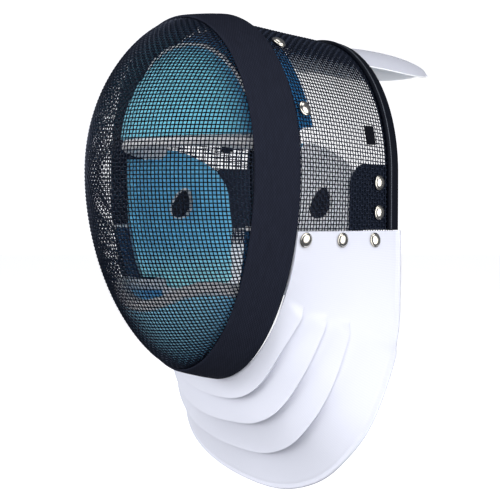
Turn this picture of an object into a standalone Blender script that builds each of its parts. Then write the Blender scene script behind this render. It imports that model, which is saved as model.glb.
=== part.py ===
"""A fencing mask: woven-wire visor and hood, wide trim, pleated bib, padded tongue, inner pads and snaps.

The mask is drawn in its own frame, in metres: X to the wearer's left, Y to the back, Z up. Y is zero at the
trim's front edge and Z is zero where the face ring is widest. One empty carries every piece and puts the
place where the crown of the head bears at the origin.
"""

import math

import bmesh
import bpy
import numpy as np
from mathutils import Vector

# Face ring: the outer edge of the trim, an egg in the XZ plane
RING_HALF_WIDTH = 0.0975
RING_UP = 0.125
RING_DOWN = 0.159
RING_UPPER_POWER = 2.05
RING_LOWER_POWER = 1.93
RING_SEGMENTS = 56

# Trim: how far back it reaches and how much it flares at the sides, the top and the chin
TRIM_DEPTH = 0.0385
TRIM_FLARE_SIDE = 0.009
TRIM_FLARE_TOP = 0.004
TRIM_FLARE_CHIN = 0.009
TRIM_THICKNESS = 0.004
TRIM_CROWN = 0.0012

GAP = 0.0003
WIRE_CLOTH = 0.0018
UNDER_TRIM = TRIM_THICKNESS + GAP
INSIDE_WIRE = UNDER_TRIM + WIRE_CLOTH + GAP

# Visor dome
VISOR_DEPTH = 0.070
VISOR_DEPTH_POWER = 1.30
VISOR_WIDTH_POWER = 1.03
VISOR_LIP = 0.014
VISOR_ROWS = 9
VISOR_SEGMENTS = 52

# Hood: sections from behind the trim to the rear edge; the two under the trim follow the trim
HOOD_UNDER_TRIM = [0.0170, 0.0385]
HOOD_SECTIONS = [
    {"y": 0.0600, "half_width": 0.1005, "top": 0.1222, "down": 0.190},
    {"y": 0.0950, "half_width": 0.0970, "top": 0.1185, "down": 0.260},
    {"y": 0.1250, "half_width": 0.0927, "top": 0.1158, "down": 0.420},
    {"y": 0.1560, "half_width": 0.0884, "top": 0.1120, "down": 0.800},
]
HOOD_HEM = -0.060
HOOD_ARCH_STEPS = 28
HOOD_SIDE_STEPS = 4

# Bib: points of the surface, one row for each spoke from the chin (0) round to the top edge (6)
BIB_TOP = -0.0465
BIB_SPOKES = [
    {"neck": (0.0000, 0.0389, -0.1655), "fold_1": (0.0000, 0.0500, -0.1810),
     "fold_2": (0.0000, 0.0640, -0.2050), "fold_3": (0.0000, 0.0870, -0.2355),
     "hem": (0.0000, 0.1010, -0.2620)},
    {"neck": (0.0270, 0.0389, -0.1600), "fold_1": (0.0310, 0.0469, -0.1770),
     "fold_2": (0.0365, 0.0587, -0.2005), "fold_3": (0.0475, 0.0787, -0.2260),
     "hem": (0.0595, 0.0947, -0.2500)},
    {"neck": (0.0500, 0.0389, -0.1450), "fold_1": (0.0550, 0.0449, -0.1640),
     "fold_2": (0.0655, 0.0578, -0.1860), "fold_3": (0.0805, 0.0737, -0.2060),
     "hem": (0.0995, 0.0927, -0.2255)},
    {"neck": (0.0700, 0.0389, -0.1230), "fold_1": (0.0745, 0.0464, -0.1390),
     "fold_2": (0.0865, 0.0632, -0.1560), "fold_3": (0.0995, 0.0802, -0.1740),
     "hem": (0.1175, 0.1042, -0.1930)},
    {"neck": (0.0870, 0.0389, -0.0950), "fold_1": (0.0885, 0.0555, -0.1060),
     "fold_2": (0.0935, 0.0785, -0.1130), "fold_3": (0.0985, 0.1020, -0.1200),
     "hem": (0.1090, 0.1370, -0.1370)},
    {"neck": (0.0960, 0.0389, -0.0720), "fold_1": (0.0965, 0.0600, -0.0755),
     "fold_2": (0.0975, 0.0840, -0.0790), "fold_3": (0.0982, 0.1080, -0.0830),
     "hem": (0.1010, 0.1490, -0.0920)},
    {"neck": (0.1018, 0.0389, -0.0465), "fold_1": (0.1015, 0.0620, -0.0465),
     "fold_2": (0.0995, 0.0860, -0.0465), "fold_3": (0.0968, 0.1100, -0.0465),
     "hem": (0.0925, 0.1575, -0.0465)},
]
BIB_LINES = ["neck", "fold_1", "fold_2", "fold_3", "hem"]
BIB_SEAM_SPOKE = 4.0
BIB_STEPS_PER_SPOKE = 4
BIB_THICKNESS = 0.0022
PLEAT_RISE = 0.0036
PLEAT_ROWS = [0.04, 0.50, 0.97]
PLEAT_CURVE = 1.4
PLEAT_FADE = 0.3

# Binding: a channel wrapped round the hood's rear edge, measured back along Y and out from the wire cloth
BINDING_WIDTH = 0.0115
BINDING_WALL = 0.0019

# Tongue: one row for each section from the root to the tip
TONGUE_SECTIONS = [
    {"y": 0.1300, "half_width": 0.0250, "crest": 0.1070, "drop": 0.0060},
    {"y": 0.1500, "half_width": 0.0320, "crest": 0.1079, "drop": 0.0092},
    {"y": 0.1590, "half_width": 0.0340, "crest": 0.1076, "drop": 0.0110},
    {"y": 0.1720, "half_width": 0.0352, "crest": 0.1104, "drop": 0.0134},
    {"y": 0.1880, "half_width": 0.0355, "crest": 0.1111, "drop": 0.0152},
    {"y": 0.2080, "half_width": 0.0345, "crest": 0.1102, "drop": 0.0160},
    {"y": 0.2300, "half_width": 0.0310, "crest": 0.1082, "drop": 0.0155},
    {"y": 0.2480, "half_width": 0.0250, "crest": 0.1054, "drop": 0.0125},
    {"y": 0.2630, "half_width": 0.0170, "crest": 0.1020, "drop": 0.0078},
    {"y": 0.2730, "half_width": 0.0085, "crest": 0.0987, "drop": 0.0027},
    {"y": 0.2770, "half_width": 0.0020, "crest": 0.0970, "drop": 0.0004},
]
TONGUE_THICKNESS = 0.0050
TONGUE_COLUMNS = 10

# Inner pads
PAD_THICKNESS = 0.012
EDGING_HEIGHT = 0.0105
BROW_HEIGHT = 0.028
BROW_REAR = 0.060
BROW_REACH = 0.0885
BROW_PLAN = 0.85  # fuller across its corners than an ellipse, which is 1
CHIN_HEIGHT = -0.0985
CHIN_REAR = 0.036
CHIN_DIP = 0.014
CHIN_DIP_POWER = 5
CHIN_CLEARANCE = 0.0010
CHIN_FARTHEST = 0.120
CUP_COLUMNS = 20
CUP_ROWS = 6
CUP_LAST_ROW = 0.94

CHEEK_CLEARANCE = 0.0022
CHEEK_THICKNESS = 0.011
CHEEK_FRONT = 0.012
CHEEK_REAR = 0.120
CHEEK_TOP = 0.0205
CHEEK_TUCK = 0.0045
CHEEK_BOTTOM = -0.085
CHEEK_DIP = 0.012
CHEEK_REAR_ROUND = 0.070
CHEEK_FRONT_ROUND = 0.014
CHEEK_COLUMNS = 10
CHEEK_ROWS = 7
VENT_CENTRE = (0.0725, -0.0250)
VENT_RADII = (0.0115, 0.0135)
VENT_SIDES = 20
CUTTER_REACH = (0.060, 0.110)
NET_THICKNESS = 0.0016

# Small pieces on the hood
PATCH = {"front": 0.100, "rear": 0.1440, "bottom": -0.0460, "top": 0.0070}
PATCH_THICKNESS = 0.0012
PATCH_CORNER = 0.014
TAB = {"front": 0.1190, "rear": 0.1315, "bottom": 0.0225, "top": 0.0385}
TAB_THICKNESS = 0.0014
PLATE_COLUMNS = 5
PLATE_ROWS = 3

SNAP_RADIUS = 0.0060
SNAP_FLAT = 0.0030
SNAP_HEIGHT = 0.0030
SNAP_SIDES = 12
SNAP_SEAT = 0.0005
HOOD_SNAPS = [
    {"y": 0.0560, "z": 0.1020},
    {"y": 0.0515, "z": 0.0480},
    {"y": 0.1330, "z": -0.0080},
    {"y": 0.1330, "z": -0.0320},
]
BIB_SNAPS = [
    {"y": 0.0470, "z": -0.0530},
    {"y": 0.0865, "z": -0.0535},
    {"y": 0.1265, "z": -0.0540},
]

# Where the crown of the head bears, in the mask's frame
SEAT_Y = 0.045
SEAT_Z = 0.0985


# ---------------------------------------------------------------- curves

def signed_power(value, power):
    return math.copysign(abs(value) ** power, value)


def egg(angle, half_width, up, down):
    """A point of the face ring's egg, by its angle from the top."""
    across, along = math.sin(angle), math.cos(angle)
    power = RING_UPPER_POWER if along >= 0 else RING_LOWER_POWER
    reach = up if along >= 0 else down
    return half_width * signed_power(across, 2 / power), reach * signed_power(along, 2 / power)


def ring_sizes(y, inset=0.0):
    """Half width, upper reach and lower reach of the trim's outside at a depth, less an inset."""
    share = y / TRIM_DEPTH
    return (
        RING_HALF_WIDTH + TRIM_FLARE_SIDE * share - inset,
        RING_UP + TRIM_FLARE_TOP * share - inset,
        RING_DOWN + TRIM_FLARE_CHIN * share - inset,
    )


def hood_rows():
    """Depth, half width, top and lower reach of each section of the hood's outside."""
    under = [(y, *ring_sizes(y, UNDER_TRIM)) for y in HOOD_UNDER_TRIM]
    behind = [(row["y"], row["half_width"], row["top"], row["down"]) for row in HOOD_SECTIONS]
    return under + behind


def hood_sizes(y):
    """Half width, top and lower reach of the hood's outside at a depth."""
    rows = hood_rows()
    depths = [row[0] for row in rows]
    return [float(np.interp(y, depths, [row[column] for row in rows])) for column in (1, 2, 3)]


def egg_half_width(z, half_width, up, down):
    """Half width of an egg at a height."""
    reach, power = (up, RING_UPPER_POWER) if z >= 0 else (down, RING_LOWER_POWER)
    return half_width * max(0.0, 1 - abs(z / reach) ** power) ** (1 / power)


def hood_wall(y, z, inset=0.0):
    """Half width of the hood at a depth and a height."""
    return egg_half_width(z, *[size - inset for size in hood_sizes(y)])


def hood_outline(y, inset, hem):
    """Points of the hood at a depth, from the hem on the left over the top to the hem on the right."""
    sizes = [size - inset for size in hood_sizes(y)]
    side = [(egg_half_width(z, *sizes), z) for z in np.linspace(hem, 0, HOOD_SIDE_STEPS + 1)[:-1]]
    angles = np.linspace(math.pi / 2, -math.pi / 2, HOOD_ARCH_STEPS + 1)
    arch = [egg(angle, *sizes) for angle in angles]
    other_side = [(-x, z) for x, z in reversed(side)]
    return [Vector((x, y, z)) for x, z in side + arch + other_side]


def smooth_between(rows, place):
    """A point of the smooth curve that runs through the rows, at a place counted in rows."""
    index = min(int(place), len(rows) - 2)
    share = place - index
    before = rows[index - 1] if index else 2 * rows[0] - rows[1]
    start, end = rows[index], rows[index + 1]
    after = rows[index + 2] if index + 2 < len(rows) else 2 * end - start
    bend = 2 * before - 5 * start + 4 * end - after
    twist = 3 * start - before - 3 * end + after
    return start + 0.5 * share * (end - before + share * (bend + share * twist))


# ---------------------------------------------------------------- making solids

def material(name, colour, roughness, metallic=0.0):
    made = bpy.data.materials.new(name)
    made.use_nodes = True
    shader = made.node_tree.nodes["Principled BSDF"]
    shader.inputs["Base Color"].default_value = (*colour, 1)
    shader.inputs["Roughness"].default_value = roughness
    shader.inputs["Metallic"].default_value = metallic
    made.diffuse_color = (*colour, 1)
    return made


def add_piece(name, mesh_maker, finish, carrier):
    """A named object from a filled bmesh, smooth on its round faces, parented to the mask's empty."""
    bmesh.ops.remove_doubles(mesh_maker, verts=mesh_maker.verts, dist=1e-7)
    bmesh.ops.recalc_face_normals(mesh_maker, faces=mesh_maker.faces)
    data = bpy.data.meshes.new(name)
    mesh_maker.to_mesh(data)
    mesh_maker.free()
    data.shade_smooth()
    data.set_sharp_from_angle(angle=math.radians(40))
    data.materials.append(finish)
    piece = bpy.data.objects.new(name, data)
    bpy.context.collection.objects.link(piece)
    piece.parent = carrier
    return piece


def walled_sheet(outer, inner, closed_rows=False, pole_at_end=False):
    """A bmesh of a wall between two grids of points, with its free edges closed."""
    made = bmesh.new()
    rows, columns = len(outer), len(outer[0])
    faces = [[[made.verts.new(point) for point in row] for row in grid] for grid in (outer, inner)]
    spans = columns if closed_rows else columns - 1
    for row in range(rows - 1):
        for column in range(spans):
            beside = (column + 1) % columns
            last = pole_at_end and row == rows - 2
            for grid in faces:
                corners = [grid[row][column], grid[row][beside], grid[row + 1][beside], grid[row + 1][column]]
                made.faces.new(corners[:3] if last else corners)
    rims = [0] if pole_at_end else [0, rows - 1]
    for row in rims:
        for column in range(spans):
            beside = (column + 1) % columns
            made.faces.new([faces[0][row][column], faces[0][row][beside],
                            faces[1][row][beside], faces[1][row][column]])
    if not closed_rows:
        for column in (0, columns - 1):
            for row in range(rows - 1):
                made.faces.new([faces[0][row][column], faces[0][row + 1][column],
                                faces[1][row + 1][column], faces[1][row][column]])
    if pole_at_end:
        for grid in faces:
            bmesh.ops.pointmerge(made, verts=grid[-1], merge_co=grid[-1][0].co)
    return made


def swept_loop(stations, closed=False):
    """A bmesh of a closed section carried along stations, each a list of points round the section."""
    made = bmesh.new()
    loops = [[made.verts.new(point) for point in station] for station in stations]
    count = len(loops[0])
    pairs = list(zip(loops, loops[1:])) + ([(loops[-1], loops[0])] if closed else [])
    for start, end in pairs:
        for corner in range(count):
            beside = (corner + 1) % count
            made.faces.new([start[corner], start[beside], end[beside], end[corner]])
    if not closed:
        made.faces.new(loops[0])
        made.faces.new(list(reversed(loops[-1])))
    return made


# ---------------------------------------------------------------- visor, trim, hood, binding

def visor_grid(inset):
    """The lip under the trim, then the dome from the face ring to its foremost point."""
    angles = [2 * math.pi * step / VISOR_SEGMENTS for step in range(VISOR_SEGMENTS)]
    grid = []
    for y in (VISOR_LIP, 0.0):
        grid.append([Vector((x, y, z)) for x, z in (egg(a, *ring_sizes(y, inset)) for a in angles)])
    depth = VISOR_DEPTH - (inset - UNDER_TRIM)
    for row in range(1, VISOR_ROWS + 1):
        rise = math.pi / 2 * row / VISOR_ROWS
        shrink = max(math.cos(rise), 0.0) ** VISOR_WIDTH_POWER if row < VISOR_ROWS else 0.0
        forward = depth * math.sin(rise) ** VISOR_DEPTH_POWER
        ring = [egg(a, *ring_sizes(0.0, inset)) for a in angles]
        grid.append([Vector((x * shrink, -forward, z * shrink)) for x, z in ring])
    return grid


def make_front_mesh(finish, carrier):
    wall = walled_sheet(visor_grid(UNDER_TRIM), visor_grid(UNDER_TRIM + WIRE_CLOTH),
                        closed_rows=True, pole_at_end=True)
    return add_piece("front_mesh", wall, finish, carrier)


def make_trim(finish, carrier):
    """A closed band with a soft crown and rounded edges."""
    section = [
        {"share": 0.00, "out": -TRIM_THICKNESS},
        {"share": 0.00, "out": -0.0012},
        {"share": 0.05, "out": 0.0},
        {"share": 0.35, "out": TRIM_CROWN},
        {"share": 0.70, "out": TRIM_CROWN},
        {"share": 0.95, "out": 0.0},
        {"share": 1.00, "out": -0.0012},
        {"share": 1.00, "out": -TRIM_THICKNESS},
    ]
    stations = []
    for step in range(RING_SEGMENTS):
        angle = 2 * math.pi * step / RING_SEGMENTS
        points = []
        for corner in section:
            y = corner["share"] * TRIM_DEPTH
            x, z = egg(angle, *ring_sizes(y, -corner["out"]))
            points.append(Vector((x, y, z)))
        stations.append(points)
    return add_piece("trim", swept_loop(stations, closed=True), finish, carrier)


def make_hood_mesh(finish, carrier):
    depths = [row[0] for row in hood_rows()]
    outer = [hood_outline(y, 0.0, HOOD_HEM) for y in depths]
    inner = [hood_outline(y, WIRE_CLOTH, HOOD_HEM) for y in depths]
    return add_piece("hood_mesh", walled_sheet(outer, inner), finish, carrier)


def make_back_binding(finish, carrier):
    """A channel whose slot holds the hood's rear edge."""
    rear = HOOD_SECTIONS[-1]["y"]
    front = rear - BINDING_WIDTH
    back = rear + GAP + BINDING_WALL
    inside = WIRE_CLOTH + GAP
    section = [
        (front, GAP),
        (front, GAP + 0.6 * BINDING_WALL),
        (front + 0.0015, GAP + BINDING_WALL),
        (rear, GAP + BINDING_WALL),
        (back, 0.0),
        (back, -WIRE_CLOTH),
        (rear, -inside - BINDING_WALL),
        (front + 0.0015, -inside - BINDING_WALL),
        (front, -inside - 0.6 * BINDING_WALL),
        (front, -inside),
        (rear + GAP, -inside),
        (rear + GAP, GAP),
    ]
    rails = []
    for y, out in section:
        points = hood_outline(min(y, rear), -out, BIB_TOP + GAP)
        rails.append([Vector((point.x, y, point.z)) for point in points])
    stations = [[rail[place] for rail in rails] for place in range(len(rails[0]))]
    return add_piece("back_binding", swept_loop(stations), finish, carrier)


# ---------------------------------------------------------------- bib

def bib_line_point(line, spoke):
    """A point of one named line of the bib; a negative spoke is on the wearer's right."""
    rows = [np.array(row[line]) for row in BIB_SPOKES]
    mirrored = rows[1] * (-1, 1, 1)
    point = smooth_between([mirrored] + rows, abs(spoke) + 1)
    return point * (-1 if spoke < 0 else 1, 1, 1)


def bib_base(spoke, line_place):
    """A point of the bib before it is pleated."""
    return smooth_between([bib_line_point(line, spoke) for line in BIB_LINES], line_place)


def bib_outward(spoke, line_place):
    """The direction that faces away from the neck."""
    nudge = 0.02
    last_line, last_spoke = len(BIB_LINES) - 1, len(BIB_SPOKES) - 1
    low, high = max(line_place - nudge, 0), min(line_place + nudge, last_line)
    left, right = max(spoke - nudge, -last_spoke), min(spoke + nudge, last_spoke)
    down = bib_base(spoke, high) - bib_base(spoke, low)
    along = bib_base(right, line_place) - bib_base(left, line_place)
    outward = np.cross(down, along)
    return outward / np.linalg.norm(outward)


def pleat_rise(spoke, line_place, share):
    """How far a pleat stands out: none at its top and most at its lower edge, and none above the seam."""
    fade = min(max((BIB_SEAM_SPOKE - abs(spoke)) / PLEAT_FADE, 0.0), 1.0)
    return PLEAT_RISE * fade * share ** PLEAT_CURVE


def make_bib(finish, carrier):
    last = len(BIB_SPOKES) - 1
    count = last * BIB_STEPS_PER_SPOKE
    spokes = [step / BIB_STEPS_PER_SPOKE for step in range(-count, count + 1)]
    outer, inner = [], []
    for band in range(len(BIB_LINES) - 1):
        for share in PLEAT_ROWS:
            if band == len(BIB_LINES) - 2 and share == PLEAT_ROWS[-1]:
                share = 1.0
            if band == 0 and share == PLEAT_ROWS[0]:
                share = 0.0
            place = band + share
            outer_row, inner_row = [], []
            for spoke in spokes:
                base = bib_base(spoke, place)
                away = bib_outward(spoke, place)
                outer_row.append(Vector(base + away * pleat_rise(spoke, place, share)))
                inner_row.append(Vector(base - away * BIB_THICKNESS))
            outer.append(outer_row)
            inner.append(inner_row)
    return add_piece("bib", walled_sheet(outer, inner), finish, carrier)


# ---------------------------------------------------------------- tongue

def make_tongue(finish, carrier):
    """A padded leaf, arched across, thinner at its edges."""
    upper, lower = [], []
    for section in TONGUE_SECTIONS:
        over, under = [], []
        for step in range(TONGUE_COLUMNS + 1):
            across = 2 * step / TONGUE_COLUMNS - 1
            x = section["half_width"] * across
            crest = section["crest"] - section["drop"] * across ** 2
            half = TONGUE_THICKNESS / 2 * (1 - 0.75 * across ** 4)
            half *= min(1.0, section["half_width"] / 0.010)
            over.append(Vector((x, section["y"], crest - TONGUE_THICKNESS / 2 + half)))
            under.append(Vector((x, section["y"], crest - TONGUE_THICKNESS / 2 - half)))
        upper.append(over)
        lower.append(under)
    return add_piece("tongue", walled_sheet(upper, lower), finish, carrier)


# ---------------------------------------------------------------- inner pads

def visor_level(x, y, z, inset):
    """Below zero inside the visor's and the ring's wall at an inset, above zero outside it."""
    half_width, up, down = ring_sizes(max(y, 0.0), inset)
    reach, power = (up, RING_UPPER_POWER) if z >= 0 else (down, RING_LOWER_POWER)
    gauge = (abs(x / half_width) ** power + abs(z / reach) ** power) ** (1 / power)
    forward = max(0.0, -y) / (VISOR_DEPTH - (inset - UNDER_TRIM))
    return gauge ** (2 / VISOR_WIDTH_POWER) + forward ** (2 / VISOR_DEPTH_POWER) - 1


def brow_point(inset, turn, lift):
    """The brow cushion: a cup that begins at its lower edge and bears on the hood's crown."""
    width, top, _ = hood_sizes(BROW_REAR)
    clear = WIRE_CLOTH + 2 * GAP + inset
    end = top - clear
    z = BROW_HEIGHT + (end - BROW_HEIGHT) * math.sin(lift)
    across = math.copysign(abs(math.sin(turn)) ** BROW_PLAN, turn)
    forward = (BROW_REACH - inset) * math.cos(lift) * math.cos(turn) ** BROW_PLAN
    half_width = (width - clear) * math.sqrt(max(0.0, 1 - (z / end) ** 2))
    return Vector((half_width * across, BROW_REAR - forward, z))


def chin_point(inset, turn, lift):
    """The chin cushion: it lines the lower end of the visor, and its upper edge dips in the middle."""
    inset = INSIDE_WIRE + CHIN_CLEARANCE + inset
    _, _, down = ring_sizes(CHIN_REAR, inset)
    edge = CHIN_HEIGHT - CHIN_DIP * math.cos(turn) ** CHIN_DIP_POWER
    z = edge + (-down - edge) * math.sin(lift)
    near, far = 0.0, CHIN_FARTHEST
    while far - near > 1e-7:
        middle = (near + far) / 2
        if visor_level(middle * math.sin(turn), CHIN_REAR - middle * math.cos(turn), z, inset) < 0:
            near = middle
        else:
            far = middle
    return Vector((near * math.sin(turn), CHIN_REAR - near * math.cos(turn), z))


def cup_point(side, inset, across, rise):
    """A point of a cup-shaped pad: across from -1 to 1, rise from its free edge (0) to its bearing (1)."""
    point = brow_point if side == "up" else chin_point
    return point(inset, across * math.pi / 2, rise * math.pi / 2)


def cup_grid(side, inset):
    shares = [step / CUP_ROWS for step in range(CUP_ROWS)] + [CUP_LAST_ROW]
    columns = [2 * step / CUP_COLUMNS - 1 for step in range(CUP_COLUMNS + 1)]
    return [[cup_point(side, inset, across, rise) for across in columns] for rise in shares]


def make_cup_pad(name, side, finish, carrier):
    wall = walled_sheet(cup_grid(side, 0.0), cup_grid(side, PAD_THICKNESS))
    return add_piece(name, wall, finish, carrier)


def make_cup_edging(name, side, finish, carrier):
    """The rounded edge sewn round the pad's free edge."""
    away = -1 if side == "up" else 1
    section = [
        {"inset": 0.0, "step": GAP},
        {"inset": 0.0, "step": 0.7 * EDGING_HEIGHT},
        {"inset": 0.3 * PAD_THICKNESS, "step": EDGING_HEIGHT},
        {"inset": 0.7 * PAD_THICKNESS, "step": EDGING_HEIGHT},
        {"inset": PAD_THICKNESS, "step": 0.7 * EDGING_HEIGHT},
        {"inset": PAD_THICKNESS, "step": GAP},
    ]
    stations = []
    for step in range(CUP_COLUMNS + 1):
        across = 2 * step / CUP_COLUMNS - 1
        points = []
        for corner in section:
            point = cup_point(side, corner["inset"], across, 0.0)
            point.z += away * corner["step"]
            points.append(point)
        stations.append(points)
    return add_piece(name, swept_loop(stations), finish, carrier)


def inner_wall(y, z, inset):
    """Half width of the room inside the mask at a depth and a height: under the trim, then under the hood."""
    if y <= TRIM_DEPTH:
        return egg_half_width(z, *ring_sizes(y, INSIDE_WIRE + inset))
    hood = hood_wall(y, z, WIRE_CLOTH + GAP + inset)
    return hood if z >= HOOD_HEM else min(hood, inner_wall(TRIM_DEPTH, z, inset))


def cheek_outline(share):
    """Top and bottom of the cheek pad at a share of the way back; its rear top corner is well rounded, and
    its front is lower, under the brow cushion's edging."""
    y = CHEEK_FRONT + (CHEEK_REAR - CHEEK_FRONT) * share
    rear = max(0.0, (share - 0.45) / 0.55)
    front = max(0.0, 1 - share / 0.25)
    top = CHEEK_TOP - CHEEK_REAR_ROUND * (1 - math.sqrt(max(0.0, 1 - rear ** 2.2)))
    top -= CHEEK_FRONT_ROUND * front ** 2 + CHEEK_TUCK * min(1.0, max(0.0, (0.62 - share) / 0.12))
    bottom = CHEEK_BOTTOM - CHEEK_DIP * math.sin(math.pi * max(0.0, (share - 0.3) / 0.7)) ** 0.7
    return y, bottom, top


def make_cheek_pad(name, hand, finish, carrier, cutter):
    outer, inner = [], []
    for share in np.linspace(0, 1, CHEEK_COLUMNS + 1):
        y, bottom, top = cheek_outline(share)
        heights = np.linspace(bottom, top, CHEEK_ROWS + 1)
        thin = 0.55 + 0.45 * math.sin(math.pi * min(max(share, 0.06), 0.94)) ** 0.5
        outer.append([Vector((hand * inner_wall(y, z, CHEEK_CLEARANCE), y, z)) for z in heights])
        inner.append([Vector((hand * (inner_wall(y, z, CHEEK_CLEARANCE) - CHEEK_THICKNESS * thin), y, z))
                      for z in heights])
    pad = add_piece(name, walled_sheet(outer, inner), finish, carrier)
    vent = pad.modifiers.new("vent", "BOOLEAN")
    vent.operation = "DIFFERENCE"
    vent.object = cutter
    return pad


def oval_disc(hand, radii, near, far):
    """An oval block that runs along X through the vent's centre."""
    y, z = VENT_CENTRE
    ends = []
    for x in (near, far):
        angles = [2 * math.pi * step / VENT_SIDES for step in range(VENT_SIDES)]
        ends.append([Vector((hand * x, y + radii[0] * math.cos(a), z + radii[1] * math.sin(a)))
                     for a in angles])
    return swept_loop(ends)


def make_vent_cutter(name, hand, finish, carrier):
    cutter = add_piece(name, oval_disc(hand, VENT_RADII, *CUTTER_REACH), finish, carrier)
    cutter.hide_render = True
    cutter.display_type = "WIRE"
    return cutter


def make_ear_net(name, hand, finish, carrier):
    middle = inner_wall(*VENT_CENTRE, CHEEK_CLEARANCE) - CHEEK_THICKNESS / 2
    radii = [radius - GAP for radius in VENT_RADII]
    disc = oval_disc(hand, radii, middle, middle + NET_THICKNESS)
    return add_piece(name, disc, finish, carrier)


# ---------------------------------------------------------------- small pieces on the hood

def make_hood_plate(name, hand, area, start, thickness, corner, finish, carrier):
    """A thin plate that follows the hood; start is how far its face lies outside the wire cloth."""
    grids = []
    for out in (start, start - thickness):
        rows = []
        for share in np.linspace(0, 1, PLATE_COLUMNS + 1):
            y = area["front"] + (area["rear"] - area["front"]) * share
            top = area["top"] - corner * max(0.0, 1 - share / 0.4) ** 2
            heights = np.linspace(area["bottom"], top, PLATE_ROWS + 1)
            rows.append([Vector((hand * (hood_wall(y, z) + out), y, z)) for z in heights])
        grids.append(rows)
    return add_piece(name, walled_sheet(*grids), finish, carrier)


def facing(surface, y, z):
    """A surface's point at a depth and a height, and the direction that faces out there."""
    nudge = 0.001
    point = surface(y, z)
    back = surface(y + nudge, z) - point
    up = surface(y, z + nudge) - point
    out = back.cross(up).normalized()
    return point, out if out.x > 0 else -out


def hood_point(y, z):
    return Vector((hood_wall(y, z), y, z))


def bib_point(y, z):
    """The bib's side panel at a depth and a height, found between its two upper spokes."""
    spokes = np.linspace(len(BIB_SPOKES) - 2, len(BIB_SPOKES) - 1, 9)
    line = np.interp(y, [bib_line_point(name, spokes[-1])[1] for name in BIB_LINES], range(len(BIB_LINES)))
    heights = [bib_base(spoke, float(line))[2] for spoke in spokes]
    return Vector(bib_base(float(np.interp(z, heights, spokes)), float(line)))


def make_snap(name, hand, point, out, finish, carrier):
    """A turned cap on a thin flange, flat on top."""
    profile = [
        {"radius": SNAP_RADIUS, "height": 0.0},
        {"radius": SNAP_RADIUS, "height": 0.20 * SNAP_HEIGHT},
        {"radius": 0.78 * SNAP_RADIUS, "height": 0.55 * SNAP_HEIGHT},
        {"radius": SNAP_FLAT, "height": SNAP_HEIGHT},
    ]
    out = Vector((hand * out.x, out.y, out.z))
    centre = Vector((hand * point.x, point.y, point.z)) + out * SNAP_SEAT
    side = out.cross(Vector((0, 0, 1))).normalized()
    up = side.cross(out)
    stations = []
    for ring in profile:
        angles = [2 * math.pi * step / SNAP_SIDES for step in range(SNAP_SIDES)]
        stations.append([centre + out * ring["height"]
                         + ring["radius"] * (side * math.cos(a) + up * math.sin(a)) for a in angles])
    return add_piece(name, swept_loop(stations), finish, carrier)


def make_snaps(finish, carrier):
    rows = [("hood_snap", hood_point, HOOD_SNAPS), ("bib_snap", bib_point, BIB_SNAPS)]
    for side_name, hand in (("left", 1), ("right", -1)):
        for kind, surface, places in rows:
            for number, place in enumerate(places, start=1):
                point, out = facing(surface, place["y"], place["z"])
                make_snap(f"{kind}_{side_name}_{number}", hand, point, out, finish, carrier)


# ---------------------------------------------------------------- the whole mask

def clear_scene():
    for old in list(bpy.data.objects):
        bpy.data.objects.remove(old, do_unlink=True)


def main():
    clear_scene()
    carrier = bpy.data.objects.new("mask_frame", None)
    carrier.location = (0, -SEAT_Y, -SEAT_Z)
    bpy.context.collection.objects.link(carrier)

    wire = material("black_painted_wire", (0.02, 0.02, 0.024), 0.45, 0.6)
    dark_cloth = material("charcoal_trim_cloth", (0.016, 0.019, 0.028), 0.8)
    white_cloth = material("white_bib_cloth", (0.86, 0.87, 0.92), 0.75)
    blue_cloth = material("blue_pad_cloth", (0.03, 0.27, 0.48), 0.7)
    black_net = material("black_net", (0.01, 0.01, 0.012), 0.8)
    nickel = material("nickel_plate", (0.78, 0.75, 0.70), 0.22, 1.0)

    make_front_mesh(wire, carrier)
    make_trim(dark_cloth, carrier)
    make_hood_mesh(wire, carrier)
    make_back_binding(dark_cloth, carrier)
    make_bib(white_cloth, carrier)
    make_tongue(white_cloth, carrier)
    make_cup_pad("forehead_pad", "up", blue_cloth, carrier)
    make_cup_edging("forehead_edging", "up", white_cloth, carrier)
    make_cup_pad("chin_pad", "down", blue_cloth, carrier)
    make_cup_edging("chin_edging", "down", white_cloth, carrier)
    for side_name, hand in (("left", 1), ("right", -1)):
        cutter = make_vent_cutter(f"vent_cutter_{side_name}", hand, black_net, carrier)
        make_cheek_pad(f"cheek_pad_{side_name}", hand, blue_cloth, carrier, cutter)
        make_ear_net(f"ear_net_{side_name}", hand, black_net, carrier)
        make_hood_plate(f"rear_patch_{side_name}", hand, PATCH, -WIRE_CLOTH - GAP, PATCH_THICKNESS,
                        PATCH_CORNER, dark_cloth, carrier)
        make_hood_plate(f"hook_tab_{side_name}", hand, TAB, GAP + TAB_THICKNESS, TAB_THICKNESS,
                        0.0, black_net, carrier)
    make_snaps(nickel, carrier)


main()
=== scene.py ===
"""Looks of a fencing mask: woven wire visor and hood, trim, pleated bib, padded tongue, pads and snaps."""

import math

import bmesh
import bpy
import numpy as np
from mathutils import Matrix, Vector


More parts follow.
